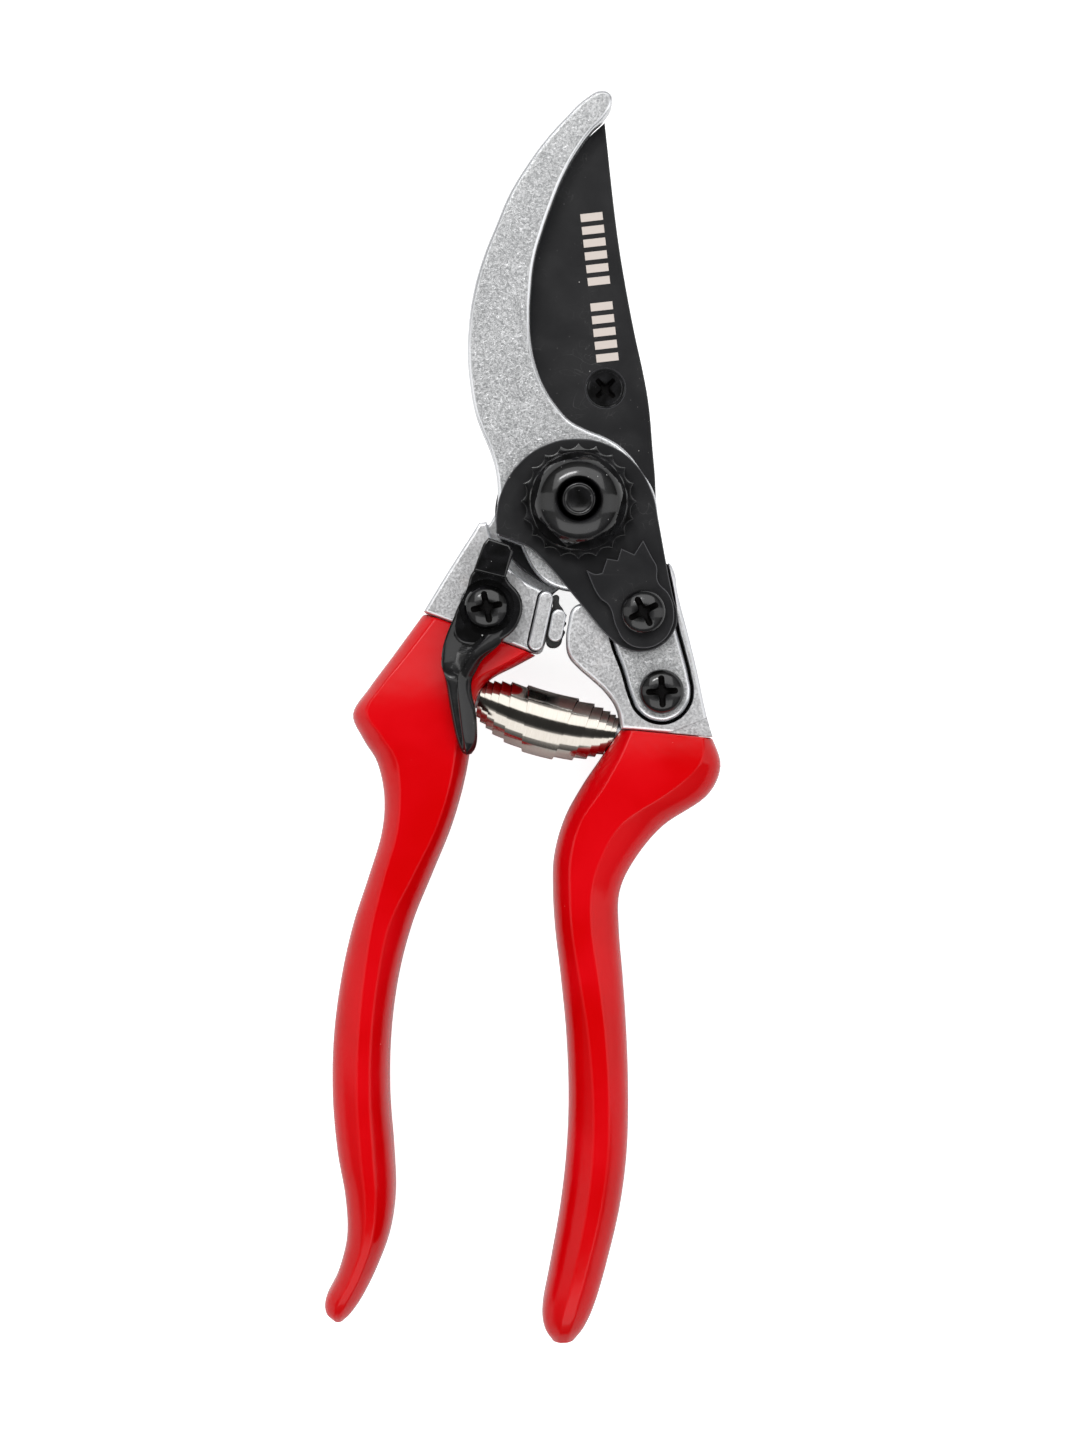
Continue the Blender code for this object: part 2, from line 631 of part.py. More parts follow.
def catch_washer():
    low, high = CATCH_WASHER
    washer = turned(((SHANK_HOLE, low), (4.8, low), (4.8, high), (SHANK_HOLE, high)))
    washer.location = (*CATCH_SCREW, 0)
    return washer


def stop_insert():
    return capsule(STOP_TOP, STOP_BOTTOM, STOP_HALF_WIDTH, STOP_INSERT)


def bumper_rubber():
    return capsule(BUMPER_TOP + Vector((0.1, 0)), BUMPER_BOTTOM + Vector((0.1, 0)), 1.0,
                   BUMPER_RUBBER)


def bumper_head():
    return capsule(BUMPER_TOP, BUMPER_BOTTOM, 1.0, BUMPER_HEAD)


def thumb_catch():
    body = plate(CATCH_HUB_OUTLINE, CATCH_HUB)
    body = join(body, plate(CATCH_NOSE_OUTLINE, CATCH_NOSE))
    body = join(body, plate(CATCH_LEVER_OUTLINE, CATCH_LEVER))
    body = cut(body, rod(CATCH_SCREW, PAN_HEAD + 0.8, (CATCH_RECESS, CATCH_LEVER[1] + 1)))
    return cut(body, rod(CATCH_SCREW, SHANK_HOLE, (CATCH_HUB[0] - 1, CATCH_RECESS + 1)))


def volute_spring():
    """Stepped barrel that the wound strip fills, open down the middle for the nubs."""
    profile = [(SPRING_BORE, SPRING_ENDS[0])]
    for radius, low, high in zip(SPRING_BANDS, SPRING_ENDS, SPRING_ENDS[1:]):
        profile += [(radius, low), (radius, high)]
    profile.append((SPRING_BORE, SPRING_ENDS[-1]))
    body = turned(profile, 20)
    along = SPRING_END - SPRING_START
    body.data.transform(along.to_track_quat("Z", "Y").to_matrix().to_4x4())
    body.data.transform(Matrix.Translation(SPRING_START))
    return body


# ---------------------------------------------------------------- assembly

def build():
    handle_axis = pivot("handle_pivot", (0, 0, 0))
    catch_axis = pivot("catch_pivot", (*CATCH_SCREW, 0))
    catch_axis.parent = handle_axis

    finish(anvil_handle(), "anvil_handle", "forged_aluminium")
    finish(anvil_grip(), "anvil_grip", "red_grip")
    finish(anvil_blade(), "anvil_blade", "bright_steel")
    finish(nut_plate(), "nut_plate", "black_coating")
    finish(toothed_segment(), "toothed_segment", "black_coating")
    finish(pivot_bolt(), "pivot_bolt", "black_steel")
    finish(pivot_nut(), "pivot_nut", "black_steel")
    finish(bolt_washer(), "bolt_washer", "plain_steel")
    finish(volute_spring(), "volute_spring", "polished_nickel")
    segment_length = SEGMENT[1] + 0.2 - 6.4
    tail_length = HOOK[1] + 0.2 - 6.4
    catch_length = CATCH_RECESS + 0.2 - 9.4
    finish(place_screw(SEGMENT_SCREW, SEGMENT[1] + 0.2, segment_length), "segment_screw",
           "black_steel", origin=(*SEGMENT_SCREW, 0))
    finish(place_screw(TAIL_SCREW, HOOK[1] + 0.2, tail_length), "tail_screw",
           "black_steel", origin=(*TAIL_SCREW, 0))

    finish(blade_handle(), "blade_handle", "forged_aluminium", handle_axis)
    finish(blade_grip(), "blade_grip", "red_grip", handle_axis)
    finish(cutting_blade(), "cutting_blade", "black_coating", handle_axis)
    finish(blade_screw(), "blade_screw", "black_steel", handle_axis, (*BLADE_SCREW, 0))
    finish(stop_insert(), "stop_insert", "bright_steel", handle_axis)
    finish(bumper_head(), "bumper_head", "bright_steel", handle_axis)
    finish(bumper_rubber(), "bumper_rubber", "black_rubber", handle_axis)
    finish(catch_washer(), "catch_washer", "plain_steel", handle_axis, (*CATCH_SCREW, 0))
    finish(place_screw(CATCH_SCREW, CATCH_RECESS + 0.2, catch_length), "catch_screw",
           "black_steel", handle_axis, (*CATCH_SCREW, 0))

    finish(thumb_catch(), "thumb_catch", "black_steel", catch_axis, (*CATCH_SCREW, 0))


build()
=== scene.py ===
"""Bypass pruner: the finished look over the working model.

Shapes are drawn in millimetres, with +Y towards the jaw tips and +Z up the pivot to the nut,
and each finished piece is scaled to metres. Every piece stands for one node of the working
model, and all but the spring ride on that node's body.
"""
import math

import bmesh
import bpy
from mathutils import Matrix, Vector


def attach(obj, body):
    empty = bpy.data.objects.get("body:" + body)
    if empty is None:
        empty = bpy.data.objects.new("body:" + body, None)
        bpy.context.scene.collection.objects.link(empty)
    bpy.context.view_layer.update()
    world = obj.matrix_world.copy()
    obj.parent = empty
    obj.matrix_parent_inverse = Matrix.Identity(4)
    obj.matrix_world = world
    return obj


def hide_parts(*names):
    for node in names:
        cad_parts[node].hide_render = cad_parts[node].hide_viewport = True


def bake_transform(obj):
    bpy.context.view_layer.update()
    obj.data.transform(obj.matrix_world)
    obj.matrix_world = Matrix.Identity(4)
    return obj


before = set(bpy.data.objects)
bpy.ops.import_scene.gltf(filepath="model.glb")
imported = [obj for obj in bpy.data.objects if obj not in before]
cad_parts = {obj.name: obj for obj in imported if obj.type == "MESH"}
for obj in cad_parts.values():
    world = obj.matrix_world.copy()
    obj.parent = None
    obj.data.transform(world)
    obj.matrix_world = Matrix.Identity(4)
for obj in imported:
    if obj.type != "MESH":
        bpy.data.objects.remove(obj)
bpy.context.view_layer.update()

MM = 0.001
PER_MM = 1000.0
CORNER = True
OUTLINE_STEPS = 8
ROUND_STEPS = 56
RIM_STEPS = 4
RECESS_REACH = 2.9
FOLD_REACH = 14
WELD = 0.0001
# Widths of the softened edges, and radii of the rounded rims.
HANDLE_EDGE = 0.12
CATCH_EDGE = 0.16
HOOK_RIM = 0.8
ANVIL_BLOCK_RIM = 0.7
BLADE_BLOCK_RIM = 0.6
CATCH_HUB_RIM = 0.5
CATCH_NOSE_RIM = 0.45
SEAT_RIM = 0.4
# How far a cutter stands out of the piece that it cuts.
PROUD = 1.0
SMOOTH_ANGLE = math.radians(32)

# Heights of the stack on the pivot, above the bolt head's underside.
WASHER = (3.6, 4.6)
SEAT = (4.8, 9.8)
BLADE = (10.0, 13.0)
HOOK = (13.2, 17.2)
NUT_PLATE = (17.4, 18.6)
SEGMENT = (18.8, 20.0)
FLANGE = (18.8, 20.8)
NUT_TOP = 26.2
BOLT_TOP = 25.6
BOLT_HEAD = 3.4

# Heights of the handles, the stop and the catch.
ANVIL_BLOCK = (4.8, 17.0)
BLADE_BLOCK = (4.8, 16.6)
RECESS_FLOOR = 12.9
RECESS_GAP = 0.6
GRIP_MIDDLE = 9.5
CATCH_WASHER = (16.8, 17.2)
CATCH_HUB = (17.4, 20.6)
CATCH_RECESS = 19.0
CATCH_NOSE = (18.9, 22.2)
CATCH_LEVER = (18.9, 22.6)
STOP_INSERT = (8.4, 17.0)
BUMPER_RUBBER = (6.4, 15.2)
BUMPER_HEAD = (15.4, 17.0)

# Radii on the pivot.
BOLT_SHANK = 4.0
BOLT_THREAD = 2.95
BOLT_HOLE = 4.2
NUT_BORE = 3.5
FLANGE_ROOT = 8.9
FLANGE_TIP = 9.8
FLANGE_TEETH = 20
HEX_ACROSS = 13.2
NUT_ACROSS = 13.9
NUT_TURN = math.radians(-15)
JAW_CLEARANCE = 15.9

# Screws: places in the plane, head and shank radii, and how far each cross is turned.
SEGMENT_SCREW = (10.9, -18.6)
TAIL_SCREW = (14.1, -32.0)
CATCH_SCREW = (-15.5, -17.8)
BLADE_SCREW = (4.7, 20.0)
SEGMENT_TURN = math.radians(27)
TAIL_TURN = math.radians(3)
CATCH_TURN = math.radians(11)
BLADE_TURN = math.radians(45)
PAN_HEAD = 3.8
PAN_HEIGHT = 2.5
SHANK = 1.9
SHANK_HOLE = 2.2
HEAD_GAP = 0.2
FLAT_HEAD = 3.3
CATCH_FLOOR = (-14.5, -17.8)
CATCH_FLOOR_RADIUS = 6.7
CATCH_FLOOR_DEPTH = 0.25
LEDGE_DEPTH = 0.35

# Grips: skin thickness, and the gap between the skin and the tang in it.
GRIP_SKIN = 2.0
TANG_GAP = 0.3
TANG_STOP = 4
GRIP_END_RIM = 0.8

# Spring: its two ends in the plane, the height of its axis, and what holds it.
SPRING_START = Vector((-16.9, -33.0, 9.6))
SPRING_END = Vector((6.4, -39.2, 9.6))
NUB_RADIUS = 1.9
SPRING_SOCKET = 3.4
STRIP_THICKNESS = 0.3
STRIP_TURNS = 5.9
SPRING_BOW = 1.4
# Turn by turn from the outside in: the strip's radius and half its width.
STRIP_RADII = (5.75, 5.25, 4.75, 4.2, 3.7, 3.15, 2.65)
STRIP_HALVES = (1.7, 5.4, 8.0, 9.4, 10.7, 11.7, 12.4)

HOOK_OUTLINE = (
    (3.9, 70.2), (1.4, 69.0), (-2.2, 65.6), (-5.8, 61.6), (-8.9, 57.3), (-11.7, 52.7),
    (-14.0, 47.3), (-16.3, 41.5), (-17.9, 35.6), (-18.7, 29.4), (-18.8, 24.7), (-18.4, 20.1),
    (-17.6, 15.6), (-16.4, 12.2), (-14.9, 8.6), (-14.0, 5.2), (-13.7, 1.1),
    (-14.0, -2.8), (-13.8, -5.6, CORNER), (-9.8, -7.2, CORNER), (-8.9, -9.2), (-7.6, -11.4),
    (-5.6, -13.4), (-3.0, -14.6), (-0.5, -15.2), (2.4, -17.2), (4.8, -20.4), (6.4, -25.0),
    (7.7, -28.4), (9.1, -33.0), (10.2, -35.2), (13.3, -37.0), (16.4, -36.5), (18.5, -34.4),
    (19.1, -32.2), (18.7, -29.3), (17.5, -24.5), (16.6, -21.1), (15.9, -15.9), (14.7, -9.7),
    (13.6, -2.5), (12.9, 1.8), (10.8, 5.4), (7.9, 9.1), (5.0, 11.1), (1.4, 12.6),
    (-1.5, 14.2), (-3.5, 16.4), (-5.4, 19.2), (-6.9, 22.7), (-7.9, 27.0), (-8.2, 31.4),
    (-8.0, 36.4), (-7.4, 41.5), (-6.0, 46.5), (-4.2, 51.6), (-2.2, 56.3), (0.1, 60.3),
    (2.4, 63.4), (4.4, 65.4), (5.8, 68.2), (5.5, 69.6),
)

# The blade's edge is ground away by the third value, towards its back.
BLADE_BACK = (
    (5.0, 62.0), (5.6, 56.2), (6.2, 50.8), (7.1, 44.0), (8.3, 36.8), (9.8, 29.0),
    (11.2, 22.6), (12.1, 17.5), (12.8, 9.7), (13.3, 3.0), (13.2, -1.5), (11.4, -7.0),
    (8.0, -11.0), (3.0, -13.6), (-3.0, -14.2), (-8.4, -11.8), (-12.4, -7.6), (-14.2, -2.0),
    (-13.4, 3.6), (-12.0, 9.4), (-11.2, 14.6),
)
BLADE_EDGE = (
    (-11.2, 20.0, 3.6), (-11.7, 28.0, 5.0), (-11.2, 36.0, 5.2), (-9.4, 44.0, 4.8),
    (-6.6, 51.0, 4.2), (-3.2, 57.0, 3.4), (0.8, 62.0, 2.0),
)
BLADE_TIP = (4.6, 65.6, 0.0)
BLADE_LAND = 0.5

SEAT_OUTLINE = (
    (4.7, 25.4), (8.4, 23.8), (9.8, 20.0), (10.8, 13.0), (12.2, 5.0), (12.3, -1.0),
    (10.6, -6.4), (6.8, -10.4), (1.5, -12.6), (-3.0, -14.0), (-6.8, -17.4), (-11.0, -18.6),
    (-17.0, -14.0), (-18.0, -7.4), (-14.6, -2.0), (-12.4, 3.0), (-9.4, 9.0), (-4.6, 14.0),
    (-1.0, 20.5), (1.2, 24.0),
)
NUT_PLATE_OUTLINE = (
    (-13.9, -5.2, CORNER), (-10.6, -6.6), (-8.1, -7.8), (-6.3, -9.4), (0.4, -17.2),
    (5.6, -23.2), (8.2, -24.9), (10.9, -25.3), (13.8, -24.4), (16.0, -22.2), (16.8, -19.4),
    (16.0, -15.9), (14.8, -9.9), (13.5, -2.8), (12.6, 1.4), (9.6, 6.6), (5.2, 9.7),
    (0.0, 10.8), (-5.2, 9.9), (-9.8, 6.9), (-12.9, 2.2), (-13.9, -2.0),
)
SEGMENT_OUTLINE = (
    (1.3, -11.5, CORNER), (2.9, -12.2), (4.0, -12.0, CORNER), (4.8, -9.6, CORNER),
    (6.6, -9.9, CORNER), (7.2, -7.9, CORNER), (9.4, -8.9, CORNER), (10.9, -6.5, CORNER),
    (12.4, -9.4), (13.2, -10.9), (13.4, -13.4), (15.3, -15.7), (16.1, -18.4), (15.6, -21.6),
    (13.8, -23.8), (10.9, -24.7), (8.0, -23.7), (6.4, -21.2), (5.1, -17.5), (3.6, -16.2),
)

ANVIL_BLOCK_OUTLINE = (
    (6.2, -15.6), (1.0, -16.8), (-1.0, -17.9), (-1.6, -19.9), (-2.0, -23.2), (-1.6, -25.7),
    (0.0, -27.7), (2.5, -29.9), (4.8, -32.1), (6.6, -34.8), (7.4, -38.3, CORNER),
    (22.9, -39.8, CORNER), (21.8, -35.9), (20.3, -28.8), (18.8, -22.6), (16.9, -15.2),
    (16.2, -11.3), (15.3, -10.1), (13.4, -10.6), (10.6, -13.2),
)
LEDGE_OUTLINE = (
    (13.6, -39.6, CORNER), (21.6, -36.5, CORNER), (25.0, -35.6, CORNER), (25.0, -42.0, CORNER),
    (13.0, -42.0, CORNER),
)
BLADE_BLOCK_OUTLINE = (
    (-16.9, -3.3, CORNER), (-15.4, -3.1, CORNER), (-14.8, -5.9), (-12.9, -9.4),
    (-10.2, -12.3), (-6.4, -14.6), (-4.5, -15.3, CORNER), (-4.4, -16.8), (-5.7, -23.8),
    (-6.6, -25.3), (-8.4, -25.1, CORNER), (-26.3, -18.4, CORNER), (-23.5, -13.7),
)
STOP_TOP = Vector((-5.5, -16.2))
STOP_BOTTOM = Vector((-7.2, -23.8))
STOP_HALF_WIDTH = 1.25
STOP_GAP = 0.3
BUMPER_TOP = Vector((-3.3, -19.2))
BUMPER_BOTTOM = Vector((-3.9, -22.3))
BUMPER_RADIUS = 1.2
RUBBER_OUTLINE = (
    (-4.3, -15.7), (-3.4, -15.6), (-3.2, -17.0), (-2.6, -17.9), (-2.3, -18.6, CORNER),
    (-1.95, -18.9, CORNER), (-2.2, -19.4, CORNER), (-2.3, -19.9, CORNER), (-2.0, -20.3, CORNER),
    (-2.4, -20.8, CORNER), (-2.5, -21.4, CORNER), (-2.2, -21.8, CORNER), (-2.6, -22.6, CORNER),
    (-3.0, -23.8), (-4.2, -24.4), (-5.3, -23.9), (-5.4, -22.6), (-4.8, -18.6), (-4.3, -17.2),
)

CATCH_HUB_OUTLINE = (
    (-17.4, -11.4), (-19.0, -15.0), (-21.2, -20.6), (-20.4, -23.4), (-17.2, -24.2),
    (-12.4, -23.0), (-9.8, -19.8), (-9.7, -16.2), (-11.9, -13.2), (-12.8, -11.4),
)
CATCH_NOSE_OUTLINE = (
    (-15.2, -6.2, CORNER), (-11.6, -7.4, CORNER), (-11.0, -8.5, CORNER),
    (-12.3, -13.0, CORNER), (-17.7, -11.7, CORNER), (-16.1, -7.3, CORNER),
)
# Stations down the catch's lever: left edge, ridge and right edge, then the heights of the
# left edge, the dished face, the ridge and the right edge.
CATCH_LEVER_STATIONS = (
    ((-20.6, -18.6), (-13.4, -20.4), (-11.2, -20.6), 20.5, 19.7, 20.5, 20.3),
    ((-22.0, -21.8), (-15.4, -23.2), (-13.2, -24.0), 21.0, 19.7, 21.4, 20.2),
    ((-22.9, -24.8), (-17.9, -25.8), (-15.9, -26.4), 21.4, 20.1, 22.1, 20.4),
    ((-23.1, -27.6), (-19.5, -28.2), (-17.3, -28.6), 21.6, 20.7, 22.4, 20.5),
    ((-22.5, -29.7), (-20.3, -29.8), (-18.0, -30.2), 21.9, 22.3, 22.6, 20.6),
    ((-22.2, -31.6), (-20.2, -31.9), (-18.0, -32.4), 21.0, 21.9, 22.5, 20.6),
    ((-21.7, -34.8), (-19.9, -35.1), (-17.3, -35.6), 20.7, 21.6, 22.3, 20.4),
    ((-20.9, -38.9), (-19.4, -39.1), (-17.1, -39.6), 20.5, 21.3, 21.9, 20.2),
    ((-20.2, -41.3), (-19.0, -41.5), (-17.4, -41.5), 20.2, 20.8, 21.4, 20.0),
    ((-19.6, -42.4), (-18.9, -42.7), (-18.1, -42.6), 19.7, 20.0, 20.3, 19.6),
)

# Stations down each grip: left point, right point, thickness, then where across the width
# the flat of the top begins and ends.
ANVIL_GRIP = (
    ((7.2, -38.4), (23.1, -39.9), 15.6, 0.12, 0.88),
    ((4.1, -43.2), (24.6, -44.8), 17.2, 0.14, 0.80),
    ((0.6, -48.4), (22.1, -50.0), 18.2, 0.16, 0.66),
    ((-2.4, -54.0), (14.7, -55.0), 18.6, 0.16, 0.56),
    ((-4.1, -60.2), (9.8, -60.8), 18.8, 0.20, 0.56),
    ((-4.3, -66.2), (7.2, -66.4), 18.8, 0.25, 0.56),
    ((-3.9, -73.0), (7.1, -73.0), 18.8, 0.26, 0.56),
    ((-2.9, -81.5), (7.8, -81.5), 18.8, 0.30, 0.60),
    ((-2.0, -91.0), (8.4, -91.0), 18.8, 0.36, 0.64),
    ((-1.6, -101.5), (8.7, -101.5), 18.8, 0.40, 0.66),
    ((-2.0, -111.5), (8.4, -111.5), 18.6, 0.42, 0.67),
    ((-3.1, -121.0), (7.2, -120.6), 18.2, 0.42, 0.66),
    ((-4.8, -130.6), (5.1, -129.6), 17.4, 0.42, 0.64),
    ((-6.1, -137.6), (3.1, -136.6), 16.0, 0.42, 0.62),
    ((-5.8, -141.2), (1.3, -140.8), 13.0, 0.40, 0.62),
    ((-4.4, -143.5), (-0.6, -143.4), 8.0, 0.36, 0.64),
)
BLADE_GRIP = (
    ((-26.5, -18.5), (-7.2, -25.7), 13.6, 0.12, 0.92),
    ((-31.8, -25.8), (-10.6, -27.5), 15.4, 0.12, 0.90),
    ((-35.8, -31.2), (-15.2, -30.0), 16.8, 0.12, 0.88),
    ((-38.7, -35.8), (-17.3, -33.4), 17.8, 0.13, 0.88),
    ((-36.9, -40.2), (-18.2, -38.4), 18.2, 0.20, 0.88),
    ((-34.5, -44.2), (-18.8, -43.4), 18.4, 0.24, 0.86),
    ((-33.3, -50.0), (-20.0, -49.2), 18.6, 0.23, 0.84),
    ((-33.8, -56.4), (-22.0, -55.8), 18.8, 0.25, 0.80),
    ((-36.1, -64.0), (-25.2, -63.6), 18.8, 0.28, 0.72),
    ((-38.7, -72.0), (-28.5, -71.8), 18.8, 0.36, 0.64),
    ((-40.7, -81.0), (-30.9, -81.0), 18.8, 0.44, 0.68),
    ((-42.0, -91.0), (-32.2, -91.0), 18.8, 0.48, 0.70),
    ((-42.2, -101.0), (-32.4, -101.0), 18.8, 0.48, 0.70),
    ((-41.4, -110.6), (-31.7, -110.6), 18.6, 0.46, 0.68),
    ((-40.0, -118.6), (-31.4, -118.2), 18.2, 0.44, 0.66),
    ((-39.7, -125.4), (-32.3, -124.8), 17.4, 0.42, 0.64),
    ((-41.2, -131.6), (-34.3, -130.4), 16.0, 0.40, 0.62),
    ((-43.3, -136.0), (-36.7, -135.4), 14.0, 0.40, 0.62),
    ((-43.4, -138.6), (-38.8, -138.6), 10.4, 0.38, 0.62),
    ((-42.2, -140.0), (-40.4, -140.2), 6.0, 0.36, 0.64),
)
GRIP_SUBSTEPS = 6


# ---------------------------------------------------------------- tools

def link(data, name="shape"):
    """Put mesh or curve data into the scene."""
    obj = bpy.data.objects.new(name, data)
    bpy.context.scene.collection.objects.link(obj)
    return obj


def weld(mesh):
    """Join coincident points and turn the faces outwards."""
    bm = bmesh.new()
    bm.from_mesh(mesh)
    bmesh.ops.remove_doubles(bm, verts=bm.verts, dist=WELD)
    bmesh.ops.recalc_face_normals(bm, faces=bm.faces)
    bm.to_mesh(mesh)
    bm.free()


def bake(obj):
    """Replace an object by the mesh that its curve or modifiers make."""
    bpy.context.view_layer.update()
    place = obj.matrix_basis.copy()
    shaped = obj.evaluated_get(bpy.context.evaluated_depsgraph_get())
    mesh = bpy.data.meshes.new_from_object(shaped)
    bpy.data.objects.remove(obj, do_unlink=True)
    weld(mesh)
    mesh.transform(place)
    return link(mesh)


def combine(body, tool, operation):
    """Join, cut or keep the common part of two solids."""
    step = body.modifiers.new("step", "BOOLEAN")
    step.solver = "EXACT"
    step.operation = operation
    step.object = tool
    result = bake(body)
    bpy.data.objects.remove(tool, do_unlink=True)
    if not result.data.polygons:
        raise ValueError("a join or cut left nothing")
    return result


def join(body, tool):
    return combine(body, tool, "UNION")


def cut(body, tool):
    return combine(body, tool, "DIFFERENCE")


def circle(centre, radius):
    """Points of a circle in the plane."""
    turns = [math.tau * i / ROUND_STEPS for i in range(ROUND_STEPS)]
    return [(centre[0] + radius * math.cos(t), centre[1] + radius * math.sin(t)) for t in turns]


def rim_curve(outline, steps):
    """A flat curve, smooth through its points but for the corners."""
    curve = bpy.data.curves.new("rim", "CURVE")
    curve.dimensions = "2D"
    curve.resolution_u = steps
    rim = curve.splines.new("BEZIER")
    rim.bezier_points.add(len(outline) - 1)
    rim.use_cyclic_u = True
    for point, place in zip(rim.bezier_points, outline):
        kind = "VECTOR" if len(place) > 2 else "AUTO"
        point.co = (place[0], place[1], 0)
        point.handle_left_type = kind
        point.handle_right_type = kind
    return curve


def plate(outline, heights, holes=(), bevel=0.0, grow=0.0, rounding=3, steps=OUTLINE_STEPS):
    """A flat piece between two heights with rounded rims."""
    curve = rim_curve(outline, steps)
    curve.fill_mode = "BOTH"
    curve.extrude = (heights[1] - heights[0]) / 2 - bevel
    curve.bevel_depth = bevel
    curve.bevel_resolution = rounding if bevel else 0
    curve.offset = grow - bevel
    for hole in holes:
        edge = curve.splines.new("POLY")
        edge.points.add(len(hole) - 1)
        edge.use_cyclic_u = True
        for point, place in zip(edge.points, hole):
            point.co = (place[0], place[1], 0, 1)
    flat = link(curve)
    flat.location.z = sum(heights) / 2
    return bake(flat)


def traced(outline):
    """The points of a smooth outline, in order."""
    line = bake(link(rim_curve(outline, OUTLINE_STEPS)))
    points = [vertex.co.xy.copy() for vertex in line.data.vertices]
    bpy.data.objects.remove(line, do_unlink=True)
    return points


def crossing(start, along, other, toward):
    """Where two lines in the plane meet, or the middle of their starts if it is far away."""
    turn = along.x * toward.y - along.y * toward.x
    gap = other - start
    if abs(turn) > 1e-6:
        share = (gap.x * toward.y - gap.y * toward.x) / turn
        if 0 <= share * along.length <= 3 * gap.length + 0.1:
            return start + along * share
    return start.lerp(other, 0.5)


def distance(point, start, end):
    """How far a point is from a short straight line."""
    along = end - start
    share = (point - start).dot(along) / max(along.length_squared, 1e-9)
    return (point - start - along * min(max(share, 0), 1)).length


def inset(ring, amount):
    """A clockwise ring moved inwards; where it would fold at a corner, its points meet."""
    count = len(ring)
    moved = []
    sharp = []
    for i, point in enumerate(ring):
        before = (point - ring[i - 1]).normalized()
        after = (ring[(i + 1) % count] - point).normalized()
        along = (before + after).normalized()
        reach = amount / max(along.dot(after), 0.35)
        moved.append(point + Vector((along.y, -along.x)) * reach)
        sharp.append(before.dot(after) < 0.9)
    folded = [any(distance(moved[i], ring[(i + k) % count], ring[(i + k + 1) % count]) < 0.97 * amount
                  for k in range(-FOLD_REACH, FOLD_REACH)) for i in range(count)]
    if not any(folded):
        return moved
    first = folded.index(False)
    i = first
    while i < first + count:
        end = i
        while folded[end % count]:
            end += 1
        if end > i:
            here, there = moved[(i - 1) % count], moved[end % count]
            meet = crossing(here, here - moved[(i - 2) % count], there, there - moved[(end + 1) % count])
            if sharp[(i - 1) % count]:
                meet = here
            elif sharp[end % count]:
                meet = there
            for k in range(i, end):
                moved[k % count] = meet
        i = end + 1
    return moved


def clockwise(ring):
    """The ring, turned round if it runs the other way."""
    area = sum(a.x * b.y - b.x * a.y for a, b in zip(ring, ring[1:] + ring[:1]))
    return ring if area < 0 else ring[::-1]


def slab(outline, heights, rounding, holes=()):
    """A flat piece between two heights; its rims are rounded over by a quarter circle."""
    low, high = heights
    ring = clockwise(traced(outline))
    rounds = [math.radians(90 * i / RIM_STEPS) for i in range(RIM_STEPS + 1)]
    levels = [(low + rounding * (1 - math.sin(turn)), rounding * (1 - math.cos(turn)))
              for turn in reversed(rounds)]
    levels += [(high - rounding * (1 - math.sin(turn)), rounding * (1 - math.cos(turn)))
               for turn in rounds]
    body = loft([[(*point, height) for point in inset(ring, amount)]
                 for height, amount in levels], split_ends=True)
    weld(body.data)
    for centre, radius in holes:
        body = cut(body, rod(centre, radius, (low - PROUD, high + PROUD)))
    return body


def rod(centre, radius, heights, count=ROUND_STEPS):
    """An upright cylinder, used to cut and to join."""
    low, high = heights
    bm = bmesh.new()
    bmesh.ops.create_cone(bm, cap_ends=True, segments=count, radius1=radius, radius2=radius,
                          depth=high - low)
    mesh = bpy.data.meshes.new("rod")
    bm.to_mesh(mesh)
    bm.free()
    mesh.transform(Matrix.Translation((centre[0], centre[1], (low + high) / 2)))
    return link(mesh)


def lean(obj, start, along):
    """Turn a piece made on the Z axis so that it starts at a point and runs along a line."""
    obj.data.transform(along.to_track_quat("Z", "Y").to_matrix().to_4x4())
    obj.data.transform(Matrix.Translation(start))
    return obj


def slanted_rod(start, end, radius):
    """A cylinder between two points."""
    along = end - start
    return lean(rod((0, 0), radius, (0, along.length)), start, along)


def turned(profile, count=ROUND_STEPS):
    """A round piece from (radius, height) points that start and end on the axis or close."""
    mesh = bpy.data.meshes.new("profile")
    ring = [(radius, 0, height) for radius, height in profile]
    links = [(i, i + 1) for i in range(len(ring) - 1)]
    if profile[0][0] > 0:
        links.append((len(ring) - 1, 0))
    mesh.from_pydata(ring, links, [])
    body = link(mesh)
    spin = body.modifiers.new("spin", "SCREW")
    spin.steps = count
    spin.render_steps = count
    spin.use_merge_vertices = True
    spin.merge_threshold = WELD
    return bake(body)


def loft(rings, split_ends=False):
    """A solid through closed rings that have the same number of points."""
    bm = bmesh.new()
    rows = [[bm.verts.new(point) for point in ring] for ring in rings]
    count = len(rows[0])
    for low, high in zip(rows, rows[1:]):
        for i in range(count):
            nearby = (i + 1) % count
            bm.faces.new((low[i], low[nearby], high[nearby], high[i]))
    ends = [bm.faces.new(rows[0]), bm.faces.new(rows[-1])]
    if split_ends:
        bmesh.ops.triangulate(bm, faces=ends, ngon_method="EAR_CLIP")
    bmesh.ops.recalc_face_normals(bm, faces=bm.faces)
    mesh = bpy.data.meshes.new("loft")
    bm.to_mesh(mesh)
    bm.free()
    return link(mesh)


def arc(centre, radius, first, last, count):
    """Points along part of a circle; angles are in degrees."""
    points = []
    for i in range(count + 1):
        turn = math.radians(first + (last - first) * i / count)
        points.append((centre[0] + radius * math.cos(turn), centre[1] + radius * math.sin(turn)))
    return points


